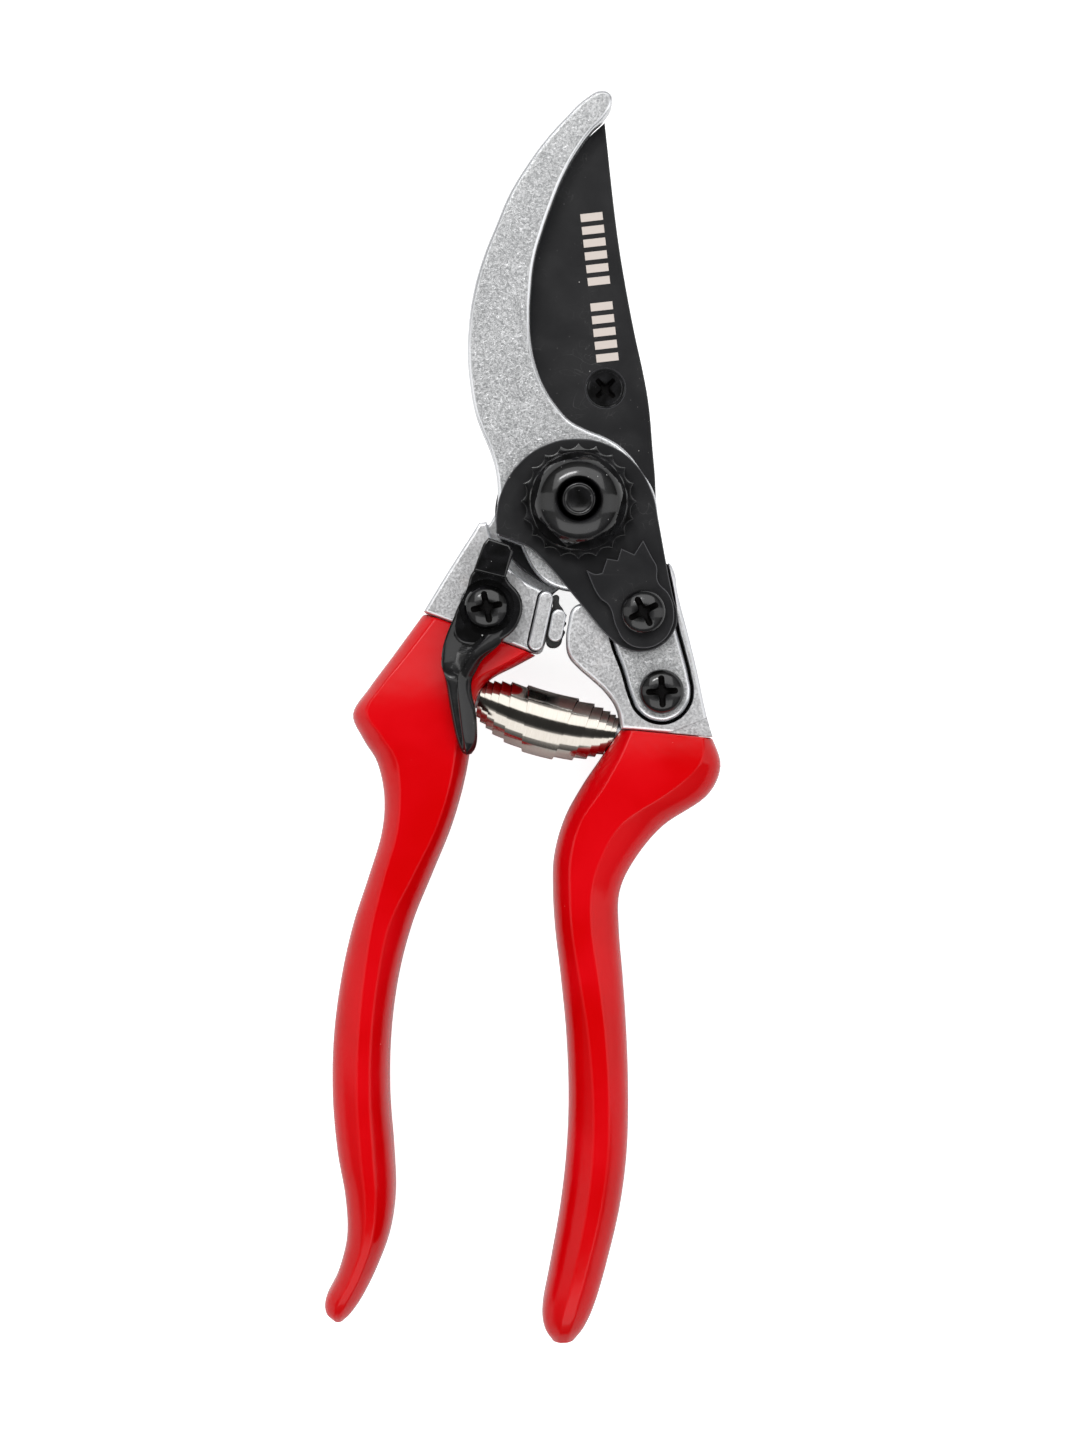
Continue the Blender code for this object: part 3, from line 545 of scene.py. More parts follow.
def capsule(start, end, radius, heights, grow=0.0, bevel=0.0):
    """An upright plate with two parallel sides and round ends."""
    along = (end - start).normalized()
    heading = math.degrees(math.atan2(along.y, along.x))
    points = arc(end, radius + grow, heading + 90, heading - 90, 12)
    points += arc(start, radius + grow, heading - 90, heading - 270, 12)
    return plate([point + (CORNER,) for point in points], heights, bevel=bevel, steps=1)


def cross(top, reach, depth, turn):
    """The tapered cross that a driver fits, with rounded arms, below the height top."""
    rings = []
    for height, size in ((top + 0.8, 1.0), (top - 0.3 * depth, 0.92), (top - depth, 0.42)):
        half = 0.19 * reach * (0.4 + 0.6 * size)
        arm = reach * size
        ring = []
        for quarter in range(4):
            spin = Matrix.Rotation(math.radians(90 * quarter) + turn, 2)
            tip = arc((arm - half, 0), half, -90, 90, 6)
            valley = arc((2.1 * half, 2.1 * half), 1.1 * half, 270, 180, 4)
            ring += [(*(spin @ Vector(point)), height) for point in tip + valley]
        rings.append(ring)
    return loft(rings)


# ---------------------------------------------------------------- shader nodes

class Sheet:
    """A node tree, with short calls that add nodes and wire them."""

    def __init__(self, tree):
        self.tree = tree

    def add(self, kind, settings=None, **values):
        node = self.tree.nodes.new("ShaderNode" + kind)
        for name, value in (settings or {}).items():
            setattr(node, name, value)
        for name, value in values.items():
            self.feed(node.inputs[name.replace("_", " ")], value)
        return node

    def feed(self, socket, value):
        if isinstance(value, bpy.types.NodeSocket):
            self.tree.links.new(value, socket)
        else:
            socket.default_value = value

    def sum(self, operation, first, second=0.0, third=0.0):
        node = self.tree.nodes.new("ShaderNodeMath")
        node.operation = operation
        for socket, value in zip(node.inputs, (first, second, third)):
            self.feed(socket, value)
        return node.outputs[0]

    def colour(self, shader, value):
        self.feed(shader.inputs["Base Color"], value)

    def rough(self, shader, value):
        self.feed(shader.inputs["Roughness"], value)

    def plus(self, first, second):
        return self.sum("ADD", first, second)

    def times(self, first, second):
        return self.sum("MULTIPLY", first, second)

    def span(self, value, low, high, to_low=0.0, to_high=1.0):
        node = self.add("MapRange", {"interpolation_type": "SMOOTHSTEP"}, Value=value)
        for name, limit in zip(("From Min", "From Max", "To Min", "To Max"),
                               (low, high, to_low, to_high)):
            self.feed(node.inputs[name], limit)
        return node.outputs[0]

    def tint(self, share, first, second):
        node = self.tree.nodes.new("ShaderNodeMix")
        node.data_type = "RGBA"
        self.feed(node.inputs[0], share)
        self.feed(node.inputs[6], first)
        self.feed(node.inputs[7], second)
        return node.outputs[2]

    def noise(self, place, scale, detail=2.0, distortion=0.0):
        node = self.add("TexNoise", Vector=place, Scale=scale, Detail=detail, Distortion=distortion)
        return node.outputs["Fac"]

    def use(self, group, **values):
        node = self.tree.nodes.new("ShaderNodeGroup")
        node.node_tree = group
        for name, value in values.items():
            self.feed(node.inputs[name.replace("_", " ")], value)
        return node.outputs


def shared(name, inputs, outputs):
    """An empty node group with number inputs and outputs, and its two end nodes."""
    group = bpy.data.node_groups.new(name, "ShaderNodeTree")
    for label, value in inputs.items():
        socket = group.interface.new_socket(label, in_out="INPUT", socket_type="NodeSocketFloat")
        socket.default_value = value
    for label in outputs:
        group.interface.new_socket(label, in_out="OUTPUT", socket_type="NodeSocketFloat")
    sheet = Sheet(group)
    return (group, sheet, sheet.add("TexCoord"), group.nodes.new("NodeGroupInput"),
            group.nodes.new("NodeGroupOutput"))


def make_dust():
    """Pale specks, each of its own size, thinly scattered. Cell is their spacing in mm."""
    group, sheet, place, given, result = shared(
        "dust_specks", {"Cell": 1.2, "Share": 0.3, "Size": 0.07}, ("Speck",))
    scale = sheet.sum("DIVIDE", PER_MM, given.outputs["Cell"])
    cells = sheet.add("TexVoronoi", Vector=place.outputs["Object"], Scale=scale)
    lot = sheet.add("SeparateColor", Color=cells.outputs["Color"])
    chosen = sheet.sum("LESS_THAN", lot.outputs[0], given.outputs["Share"])
    reach = sheet.times(given.outputs["Size"], sheet.plus(0.35, lot.outputs[1]))
    inside = sheet.span(cells.outputs["Distance"], sheet.times(reach, 0.5), reach, 1.0, 0.0)
    sheet.feed(result.inputs["Speck"], sheet.times(chosen, inside))
    return group


def make_curls():
    """Short curly scuffs, like a tumbled or wire-brushed face. Length is in mm."""
    group, sheet, place, given, result = shared(
        "curly_scuffs", {"Length": 1.0, "Width": 0.03}, ("Line", "Cloud"))
    scale = sheet.sum("DIVIDE", PER_MM, given.outputs["Length"])
    lines = []
    for shift, factor in ((0.0, 1.0), (0.011, 1.7)):
        moved = sheet.add("VectorMath", {"operation": "ADD"})
        sheet.feed(moved.inputs[0], place.outputs["Object"])
        moved.inputs[1].default_value = (shift, shift, 0)
        swirl = sheet.noise(moved.outputs[0], sheet.times(scale, factor), 1.0, 1.6)
        away = sheet.sum("ABSOLUTE", sheet.sum("SUBTRACT", swirl, 0.5))
        lines.append(sheet.span(away, 0.0, given.outputs["Width"], 1.0, 0.0))
    sheet.feed(result.inputs["Line"], sheet.sum("MAXIMUM", *lines))
    cloud = sheet.noise(place.outputs["Object"], sheet.times(scale, 0.16), 3.0)
    sheet.feed(result.inputs["Cloud"], cloud)
    return group


def make_upward():
    """1 on faces that look straight up or down, 0 on rounded rims and walls."""
    group, sheet, place, given, result = shared("level_faces", {}, ("Level",))
    normal = sheet.add("SeparateXYZ", Vector=place.outputs["Normal"])
    tilt = sheet.sum("ABSOLUTE", normal.outputs["Z"])
    sheet.feed(result.inputs["Level"], sheet.span(tilt, 0.90, 0.995))
    return group


def finish_of(name, colour, roughness, metallic=0.0, coat=0.0, coat_roughness=0.1):
    """A material with its constant values set on the shader."""
    material = bpy.data.materials.new(name)
    material.use_nodes = True
    shader = material.node_tree.nodes["Principled BSDF"]
    shader.inputs["Base Color"].default_value = (*colour, 1)
    shader.inputs["Roughness"].default_value = roughness
    shader.inputs["Metallic"].default_value = metallic
    shader.inputs["Coat Weight"].default_value = coat
    shader.inputs["Coat Roughness"].default_value = coat_roughness
    return material, Sheet(material.node_tree), shader


def object_place(sheet):
    return sheet.add("TexCoord").outputs["Object"]


def raise_surface(sheet, shader, height, strength, distance):
    """Bump the surface by a height map; distance is in mm."""
    bump = sheet.add("Bump", Height=height, Strength=strength, Distance=distance * MM)
    sheet.feed(shader.inputs["Normal"], bump.outputs[0])


DUST = make_dust()
CURLS = make_curls()
LEVEL = make_upward()


def rgb(red, green, blue):
    return (red, green, blue, 1.0)


def scuffed_steel():
    """Satin steel with curly scuffs on its flats, and smooth rims painted pale as a painted highlight.
    """
    material, sheet, shader = finish_of("scuffed_steel", (0.6, 0.6, 0.6), 0.34, 0.9)
    place = object_place(sheet)
    level = sheet.use(LEVEL)["Level"]
    curls = sheet.use(CURLS, Length=1.1, Width=0.04)
    fine = sheet.noise(place, 2.2 * PER_MM, 3.0, 0.8)
    scuff = sheet.times(level, curls["Line"])
    tone = sheet.plus(sheet.times(fine, 0.9), sheet.times(curls["Cloud"], 0.2))
    ground = sheet.tint(sheet.span(tone, 0.40, 0.72), rgb(0.30, 0.305, 0.31),
                        rgb(0.58, 0.585, 0.59))
    face = sheet.tint(sheet.times(scuff, 0.42), ground, rgb(0.84, 0.84, 0.85))
    # Rims and walls take a pale colour: a painted highlight along the edges.
    sheet.colour(shader, sheet.tint(level, rgb(0.80, 0.81, 0.83), face))
    rough = sheet.plus(0.26, sheet.times(level, 0.16))
    sheet.rough(shader, rough)
    relief = sheet.plus(sheet.times(scuff, 0.7), sheet.times(fine, 0.6))
    raise_surface(sheet, shader, sheet.times(relief, level), 0.5, 0.10)
    return material


def forged_aluminium():
    """Tumbled aluminium: an even fine grain with soft clouds, and rims painted pale as a painted
    highlight.
    """
    material, sheet, shader = finish_of("forged_aluminium", (0.55, 0.55, 0.55), 0.42, 0.85)
    place = object_place(sheet)
    level = sheet.use(LEVEL)["Level"]
    curls = sheet.use(CURLS, Length=0.9, Width=0.05)
    grain = sheet.noise(place, 2.4 * PER_MM, 3.0)
    stain = sheet.noise(place, 0.11 * PER_MM, 4.0, 0.5)
    tone = sheet.plus(sheet.times(grain, 0.6), sheet.times(curls["Cloud"], 0.5))
    ground = sheet.tint(sheet.span(tone, 0.35, 0.8), rgb(0.48, 0.48, 0.485), rgb(0.80, 0.80, 0.81))
    warm = sheet.tint(sheet.span(stain, 0.55, 0.75, 0.0, 0.35), ground, rgb(0.62, 0.57, 0.53))
    scuff = sheet.times(curls["Line"], sheet.times(level, 0.5))
    face = sheet.tint(scuff, warm, rgb(0.92, 0.92, 0.93))
    # Rims and walls are painted paler than the flats: a painted highlight along the edges.
    sheet.colour(shader, sheet.tint(level, rgb(0.76, 0.77, 0.79), face))
    sheet.rough(shader, sheet.span(grain, 0.3, 0.8, 0.36, 0.5))
    raise_surface(sheet, shader, sheet.times(grain, level), 0.4, 0.05)
    return material


def coated(name, bars):
    """Black oxide over ground steel, with dust, light scuffs and rims painted grey as a painted
    highlight; the blade has pale bars.
    """
    material, sheet, shader = finish_of(name, (0.02, 0.02, 0.02), 0.42, 0.0)
    shader.inputs["Specular IOR Level"].default_value = 0.22
    place = object_place(sheet)
    level = sheet.use(LEVEL)["Level"]
    dust = sheet.use(DUST, Cell=1.7, Share=0.28, Size=0.085)["Speck"]
    grit = sheet.use(DUST, Cell=0.6, Share=0.12, Size=0.10)["Speck"]
    cloud = sheet.noise(place, 0.13 * PER_MM, 4.0, 0.4)
    grain = sheet.noise(place, 5.0 * PER_MM, 2.0)
    scratch = sheet.use(CURLS, Length=6.0, Width=0.0035)["Line"]
    thin = sheet.times(scratch, sheet.span(cloud, 0.5, 0.7, 0.0, 0.4))
    ground = sheet.tint(sheet.span(cloud, 0.3, 0.75), rgb(0.008, 0.008, 0.009),
                        rgb(0.014, 0.014, 0.015))
    # Rims and walls are painted grey, not black: a painted highlight along the edges.
    edge = sheet.tint(level, rgb(0.07, 0.07, 0.075), ground)
    scuffed_and_lit = sheet.tint(thin, edge, rgb(0.16, 0.16, 0.16))
    specks = sheet.sum("MAXIMUM", dust, sheet.times(grit, 0.35))
    dusty = sheet.tint(sheet.times(specks, 0.75), scuffed_and_lit, rgb(0.52, 0.51, 0.49))
    rough = sheet.span(cloud, 0.3, 0.75, 0.38, 0.48)
    if bars:
        mark = pale_bars(sheet, place, level)
        dusty = sheet.tint(mark, dusty, rgb(0.56, 0.50, 0.46))
        rough = sheet.plus(rough, sheet.times(mark, 0.12))
    sheet.colour(shader, dusty)
    sheet.rough(shader, rough)
    raise_surface(sheet, shader, grain, 0.18, 0.04)
    return material


# Pale bars across the blade: where the row starts, where it ends, and its pitch in mm.
BARS_START = Vector((5.1, 24.6))
BARS_END = Vector((2.2, 50.6))
BAR_PITCH = 2.2
BAR_SHARE = 0.62
BAR_REACH = 1.9
BAR_GAP = (11.0, 13.2)


def pale_bars(sheet, place, level):
    """A row of plain etched bars with one gap, in place of any lettering."""
    along = (BARS_END - BARS_START).normalized()
    spot = sheet.add("SeparateXYZ", Vector=place)
    across_x = sheet.sum("SUBTRACT", sheet.times(spot.outputs[0], PER_MM), BARS_START.x)
    across_y = sheet.sum("SUBTRACT", sheet.times(spot.outputs[1], PER_MM), BARS_START.y)
    run = sheet.plus(sheet.times(across_x, along.x), sheet.times(across_y, along.y))
    side = sheet.sum("SUBTRACT", sheet.times(across_x, along.y), sheet.times(across_y, along.x))
    phase = sheet.sum("FRACT", sheet.sum("DIVIDE", run, BAR_PITCH))
    bar = sheet.sum("LESS_THAN", phase, BAR_SHARE)
    wide = sheet.sum("LESS_THAN", sheet.sum("ABSOLUTE", side), BAR_REACH)
    begun = sheet.sum("GREATER_THAN", run, 0.0)
    over = sheet.sum("LESS_THAN", run, (BARS_END - BARS_START).length)
    before = sheet.sum("LESS_THAN", run, BAR_GAP[0])
    after = sheet.sum("GREATER_THAN", run, BAR_GAP[1])
    mark = sheet.times(bar, wide)
    for limit in (begun, over, sheet.sum("MAXIMUM", before, after), level):
        mark = sheet.times(mark, limit)
    return mark


def glossy_black():
    """Polished black steel of the screws, nut and catch, lightly dusted."""
    material, sheet, shader = finish_of("glossy_black", (0.012, 0.012, 0.012), 0.2, 0.0, 0.45, 0.05)
    shader.inputs["Specular IOR Level"].default_value = 0.32
    place = object_place(sheet)
    level = sheet.use(LEVEL)["Level"]
    dust = sheet.use(DUST, Cell=1.5, Share=0.3, Size=0.09)["Speck"]
    grit = sheet.use(DUST, Cell=0.5, Share=0.15, Size=0.12)["Speck"]
    cloud = sheet.noise(place, 0.3 * PER_MM, 4.0, 0.6)
    ground = sheet.tint(sheet.span(cloud, 0.35, 0.7), rgb(0.002, 0.002, 0.002),
                        rgb(0.006, 0.006, 0.007))
    specks = sheet.sum("MAXIMUM", dust, sheet.times(grit, 0.3))
    dusty = sheet.tint(sheet.times(specks, 0.7), ground, rgb(0.5, 0.5, 0.49))
    sheet.colour(shader, dusty)
    rough = sheet.span(cloud, 0.3, 0.7, 0.11, 0.22)
    sheet.rough(shader, sheet.plus(rough, sheet.times(level, 0.06)))
    raise_surface(sheet, shader, sheet.noise(place, 1.2 * PER_MM, 3.0), 0.25, 0.05)
    return material


def sprung_nickel():
    """Bright strip with fine lines that run round the coil."""
    material, sheet, shader = finish_of("sprung_nickel", (0.74, 0.69, 0.63), 0.1, 1.0)
    along = (SPRING_END - SPRING_START).normalized()
    place = object_place(sheet)
    turn = sheet.add("VectorRotate", {"rotation_type": "Z_AXIS"}, Vector=place,
                     Angle=-math.atan2(along.y, along.x))
    pull = sheet.add("Mapping", Vector=turn.outputs[0])
    pull.inputs["Scale"].default_value = (9.0 * PER_MM, 0.5 * PER_MM, 0.5 * PER_MM)
    lines = sheet.noise(pull.outputs[0], 1.0, 2.0)
    cloud = sheet.noise(place, 0.25 * PER_MM, 3.0)
    sheet.rough(shader, sheet.span(cloud, 0.3, 0.7, 0.07, 0.14))
    sheet.colour(shader, sheet.tint(lines, rgb(0.40, 0.37, 0.33), rgb(0.50, 0.465, 0.42)))
    raise_surface(sheet, shader, lines, 0.06, 0.02)
    return material


def dipped_red():
    """Glossy red dip coat with a faint ripple and a few specks of lint."""
    material, sheet, shader = finish_of("dipped_red", (0.62, 0.001, 0.002), 0.16)
    shader.inputs["Specular IOR Level"].default_value = 0.22
    place = object_place(sheet)
    cloud = sheet.noise(place, 0.06 * PER_MM, 3.0, 0.3)
    ripple = sheet.noise(place, 0.35 * PER_MM, 2.0)
    pores = sheet.noise(place, 6.0 * PER_MM, 2.0)
    lint = sheet.use(DUST, Cell=2.6, Share=0.16, Size=0.05)["Speck"]
    ground = sheet.tint(sheet.span(cloud, 0.3, 0.7), rgb(0.55, 0.0, 0.001), rgb(0.62, 0.001, 0.004))
    sheet.colour(shader, sheet.tint(sheet.times(lint, 0.5), ground, rgb(0.85, 0.35, 0.33)))
    sheet.rough(shader, sheet.span(cloud, 0.3, 0.7, 0.13, 0.20))
    relief = sheet.plus(ripple, sheet.times(pores, 0.08))
    raise_surface(sheet, shader, relief, 0.12, 0.3)
    return material


def bumper_rubber_finish():
    """Matt black rubber with moulded ribs."""
    material, sheet, shader = finish_of("ribbed_rubber", (0.012, 0.012, 0.012), 0.62)
    place = object_place(sheet)
    grain = sheet.noise(place, 2.5 * PER_MM, 3.0)
    dust = sheet.use(DUST, Cell=0.8, Share=0.2, Size=0.1)["Speck"]
    sheet.colour(shader, sheet.tint(sheet.times(dust, 0.4), rgb(0.012, 0.012, 0.012),
                                    rgb(0.3, 0.3, 0.3)))
    sheet.rough(shader, sheet.span(grain, 0.3, 0.7, 0.5, 0.7))
    raise_surface(sheet, shader, grain, 0.3, 0.08)
    return material


def washer_steel():
    """Plain zinc-washed steel."""
    material, sheet, shader = finish_of("washer_steel", (0.42, 0.42, 0.42), 0.3, 1.0)
    place = object_place(sheet)
    grain = sheet.noise(place, 1.5 * PER_MM, 4.0)
    sheet.colour(shader, sheet.tint(grain, rgb(0.34, 0.34, 0.35), rgb(0.55, 0.55, 0.56)))
    sheet.rough(shader, sheet.span(grain, 0.3, 0.7, 0.24, 0.4))
    raise_surface(sheet, shader, grain, 0.15, 0.04)
    return material


def painted_shade_and_dirt():
    """Painted shade with some oily dirt: near black, for the bottom of each cross recess and the
    groove's floor.
    """
    material, sheet, shader = finish_of("painted_shade_and_dirt", (0.003, 0.003, 0.003), 0.6)
    place = object_place(sheet)
    grain = sheet.noise(place, 3.0 * PER_MM, 2.0)
    shader.inputs["Specular IOR Level"].default_value = 0.15
    sheet.colour(shader, sheet.tint(grain, rgb(0.001, 0.001, 0.001), rgb(0.006, 0.005, 0.005)))
    raise_surface(sheet, shader, grain, 0.3, 0.08)
    return material


def edge_highlight_and_rubbing():
    """A painted highlight with some rubbing: the catch's softened edges in a mottled grey sheen."""
    material, sheet, shader = finish_of("edge_highlight_and_rubbing", (0.07, 0.07, 0.075), 0.3, 0.5)
    place = object_place(sheet)
    mottle = sheet.noise(place, 1.1 * PER_MM, 3.0)
    scuffed_and_lit = sheet.tint(sheet.span(mottle, 0.35, 0.65), rgb(0.03, 0.03, 0.032),
                      rgb(0.17, 0.17, 0.175))
    sheet.colour(shader, scuffed_and_lit)
    sheet.rough(shader, sheet.span(mottle, 0.3, 0.7, 0.25, 0.4))
    return material


STEEL = scuffed_steel()
SHADE_AND_DIRT = painted_shade_and_dirt()
HIGHLIGHT_AND_RUBBING = edge_highlight_and_rubbing()
ALUMINIUM = forged_aluminium()
BLADE_BLACK = coated("marked_black", True)
PLATE_BLACK = coated("plate_black", False)
GLOSS_BLACK = glossy_black()
NICKEL = sprung_nickel()
RED = dipped_red()
RUBBER = bumper_rubber_finish()
ZINC = washer_steel()


def present(obj, name, material, body=None, edge=0.0, edge_material=None, recess=None):
    """Scale a piece to metres, shade and name it, and let it stand for its working node."""
    mesh = obj.data
    obj.name = name + "_finished"
    mesh.name = name + "_finished"
    mesh.materials.clear()
    mesh.materials.append(material)
    if edge_material:
        mesh.materials.append(edge_material)
    # Faces deep in a cross recess take the near-black material: painted shade with some dirt.
    if recess:
        mesh.materials.append(SHADE_AND_DIRT)
        centre, top = recess
        for face in mesh.polygons:
            away = (face.center.xy - Vector(centre)).length
            face.material_index = int(away < RECESS_REACH and top - 1.0 > face.center.z - 0.4
                                      and face.center.z > top - 3.0)
    mesh.transform(Matrix.Scale(MM, 4))
    mesh.shade_smooth()
    mesh.set_sharp_from_angle(angle=SMOOTH_ANGLE)
    if edge:
        soften = obj.modifiers.new("soften", "BEVEL")
        soften.width = edge * MM
        soften.segments = 2
        soften.limit_method = "ANGLE"
        soften.angle_limit = math.radians(40)
        # The bevelled faces take the edge material where one is given; on the catch it is a painted
        # highlight with some rubbing.
        soften.material = 1 if edge_material else -1
    even = obj.modifiers.new("even", "WEIGHTED_NORMAL")
    even.keep_sharp = True
    if body:
        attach(obj, body)
    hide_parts(name)
    return obj


# ---------------------------------------------------------------- grips and handles

# Half of the section: a curve from the widest point up to the flat, as shares of the side's
# width and of the half thickness.
SIDE_CURVE = ((0.0, 0.0), (0.0, 0.5), (0.12, 0.72), (1.0, 1.0))
SIDE_STEPS = 9
CREASE = 0.35


def side_profile(side_width, half):
    """Points from the widest point up to the flat with a small round on the crease."""
    points = []
    for i in range(SIDE_STEPS):
        t = i / SIDE_STEPS
        weights = ((1 - t) ** 3, 3 * t * (1 - t) ** 2, 3 * t * t * (1 - t), t ** 3)
        points.append(tuple(sum(w * p[k] for w, p in zip(weights, SIDE_CURVE)) for k in (0, 1)))
    slope_x = SIDE_CURVE[3][0] - SIDE_CURVE[2][0]
    slope_y = SIDE_CURVE[3][1] - SIDE_CURVE[2][1]
    run = math.hypot(slope_x * side_width, slope_y * half)
    crease = min(CREASE, 0.2 * side_width)
    back = min(crease / run, 0.25)
    points.append((1 - slope_x * back, 1 - slope_y * back))
    points.append((1 - slope_x * back * 0.4, 1 - slope_y * back * 0.48))
    points.append((1 + crease / side_width * 0.35, 1 - 0.03 * crease / half))
    points.append((1 + crease / side_width, 1.0))
    return points


def section(station, skin):
    """One ring of a grip: a narrow flat on top and below, sloped rounded sides."""
    left, right, thickness, flat_start, flat_end = station
    across = (right - left).normalized()
    left = left + across * skin
    right = right - across * skin
    width = (right - left).length
    half = thickness / 2 - skin
    first = side_profile(flat_start * width, half)
    last = side_profile((1 - flat_end) * width, half)
    top = [(flat_start * share, up) for share, up in first]
    top += [(1 - (1 - flat_end) * share, up) for share, up in reversed(last)]
    below = [(share, -up) for share, up in reversed(top[1:-1])]
    ring = []
    for share, up in top + below:
        place = left.lerp(right, share)
        ring.append((place.x, place.y, GRIP_MIDDLE + up * half))
    return ring


def smoothed(rows, along):
    """The row of numbers at a place between two rows of a list, smoothly."""
    index = max(0, min(int(math.floor(along)), len(rows) - 2))
    t = along - index
    if t < 0:
        return [b + (c - b) * t for b, c in zip(rows[0], rows[1])]
    before = rows[max(index - 1, 0)]
    after = rows[min(index + 2, len(rows) - 1)]
    mixed = []
    for a, b, c, d in zip(before, rows[index], rows[index + 1], after):
        mixed.append(0.5 * (2 * b + (c - a) * t + (2 * a - 5 * b + 4 * c - d) * t * t
                            + (3 * b - a - 3 * c + d) * t ** 3))
    return mixed


def stationed(stations, along):
    """The grip's station at a place between two of its list."""
    rows = [(*left, *right, *rest) for left, right, *rest in stations]
    mixed = smoothed(rows, along)
    return Vector(mixed[0:2]), Vector(mixed[2:4]), mixed[4], mixed[5], mixed[6]


def hollow_end(stations):
    return len(stations) - 1 - TANG_STOP


def grip(stations):
    """The dipped grip: a thick skin, closed at the bottom, with a rolled lip at the top."""
    deep = hollow_end(stations)
    inner = [section(stationed(stations, deep - i / 2), GRIP_SKIN) for i in range(2 * deep)]
    lip = [section(stationed(stations, along), skin)
           for along, skin in ((0.0, 1.9), (0.0, 0.55), (0.03, 0.2), (0.09, 0.0))]
    last = len(stations) - 1
    steps = last * GRIP_SUBSTEPS
    outer = [section(stationed(stations, i / GRIP_SUBSTEPS), 0) for i in range(1, steps + 1)]
    end = section(stationed(stations, last), GRIP_END_RIM)
    return loft(inner + lip + outer + [end])


def tang(stations):
    """The part of a forging that runs down inside the grip."""
    skin = GRIP_SKIN + TANG_GAP
    steps = 2 * (hollow_end(stations) - 1)
    rings = [section(stationed(stations, -0.8), skin)]
    rings += [section(stationed(stations, i / 2), skin) for i in range(steps)]
    return loft(rings)


def spring_axis(distance):
    """A point on the spring's axis, at a distance from its left end."""
    return SPRING_START + (SPRING_END - SPRING_START).normalized() * distance


SPRING_LENGTH = (SPRING_END - SPRING_START).length


def anvil_handle():
    body = join(slab(ANVIL_BLOCK_OUTLINE, ANVIL_BLOCK, ANVIL_BLOCK_RIM), tang(ANVIL_GRIP))
    foot = spring_axis(SPRING_LENGTH + 5)
    body = join(body, slanted_rod(foot, spring_axis(SPRING_LENGTH - 3), NUB_RADIUS))
    body = cut(body, plate(HOOK_OUTLINE, (RECESS_FLOOR, ANVIL_BLOCK[1] + 2), grow=RECESS_GAP))
    body = cut(body, rod((0, 0), JAW_CLEARANCE + 0.6, (0, RECESS_FLOOR + 0.1), 128))
    body = cut(body, plate(LEDGE_OUTLINE, (ANVIL_BLOCK[1] - LEDGE_DEPTH, ANVIL_BLOCK[1] + PROUD)))
    for place in (SEGMENT_SCREW, TAIL_SCREW):
        body = cut(body, rod(place, SHANK_HOLE, (6.0, RECESS_FLOOR + 1)))
    return body


def blade_handle():
    body = join(slab(BLADE_BLOCK_OUTLINE, BLADE_BLOCK, BLADE_BLOCK_RIM), tang(BLADE_GRIP))
    body = join(body, slanted_rod(spring_axis(-5), spring_axis(3), NUB_RADIUS))
    body = join(body, slab(SEAT_OUTLINE, SEAT, SEAT_RIM))
    body = cut(body, rod((0, 0), JAW_CLEARANCE, (SEAT[1], BLADE_BLOCK[1] + PROUD), 128))
    pocket = (STOP_INSERT[0] - 0.2, BLADE_BLOCK[1] + PROUD)
    aside = Vector((1.2, -0.2))
    for shift in (Vector((0, 0)), aside):
        body = cut(body, capsule(STOP_TOP + shift, STOP_BOTTOM + shift, STOP_HALF_WIDTH, pocket,
                                 STOP_GAP))
    sector = arc(CATCH_FLOOR, CATCH_FLOOR_RADIUS, 62, -72, 24) + [CATCH_FLOOR]
    body = cut(body, loft([[(*point, height) for point in sector]
                           for height in (BLADE_BLOCK[1] - CATCH_FLOOR_DEPTH, BLADE_BLOCK[1] + PROUD)]))
    body = cut(body, rod((0, 0), BOLT_HOLE, (0, SEAT[1] + PROUD)))
    body = cut(body, rod(BLADE_SCREW, SHANK_HOLE, (0, SEAT[1] + PROUD)))
    return cut(body, rod(CATCH_SCREW, SHANK_HOLE, (9.0, BLADE_BLOCK[1] + PROUD)))


def anvil_grip():
    hole = slanted_rod(spring_axis(SPRING_LENGTH + 5.5), spring_axis(SPRING_LENGTH - 4),
                       SPRING_SOCKET)
    return cut(grip(ANVIL_GRIP), hole)


def blade_grip():
    hole = slanted_rod(spring_axis(-5.5), spring_axis(4), SPRING_SOCKET)
    return cut(grip(BLADE_GRIP), hole)


# ---------------------------------------------------------------- jaws and pivot

def anvil_blade():
    holes = (((0, 0), BOLT_HOLE), (SEGMENT_SCREW, SHANK_HOLE), (TAIL_SCREW, SHANK_HOLE))
    return slab(HOOK_OUTLINE, HOOK, HOOK_RIM, holes)


def blade_ring(ground):
    """The blade's outline; ground is 1 where the edge is ground back and 0 where it isn't."""
    points = [BLADE_TIP] + list(BLADE_BACK)
    points += [(x + width * ground, y - 0.35 * width * ground) for x, y, width in BLADE_EDGE]
    return traced(points)


def cutting_blade():
    low, high = BLADE
    full = blade_ring(0)
    rings = [(low, blade_ring(1)), (high - BLADE_LAND, full), (high - 0.12, inset(full, 0.08)),
             (high, inset(full, 0.4))]
    body = loft([[(point.x, point.y, height) for point in ring] for height, ring in rings])
    body = cut(body, rod((0, 0), BOLT_HOLE, (low - PROUD, high + PROUD)))
    sink = turned(((0, low - 1), (SHANK_HOLE, low - 1), (SHANK_HOLE, high - 1.4),
                   (FLAT_HEAD + 0.25, high - 0.05), (FLAT_HEAD + 0.25, high + 1), (0, high + 1)))
    sink.location = (*BLADE_SCREW, 0)
    return cut(body, sink)


def nut_plate():
    holes = [circle((0, 0), BOLT_HOLE), circle(SEGMENT_SCREW, SHANK_HOLE)]
    return plate(NUT_PLATE_OUTLINE, NUT_PLATE, holes, bevel=0.22)


def toothed_segment():
    return plate(SEGMENT_OUTLINE, SEGMENT, [circle(SEGMENT_SCREW, SHANK_HOLE)], bevel=0.2)


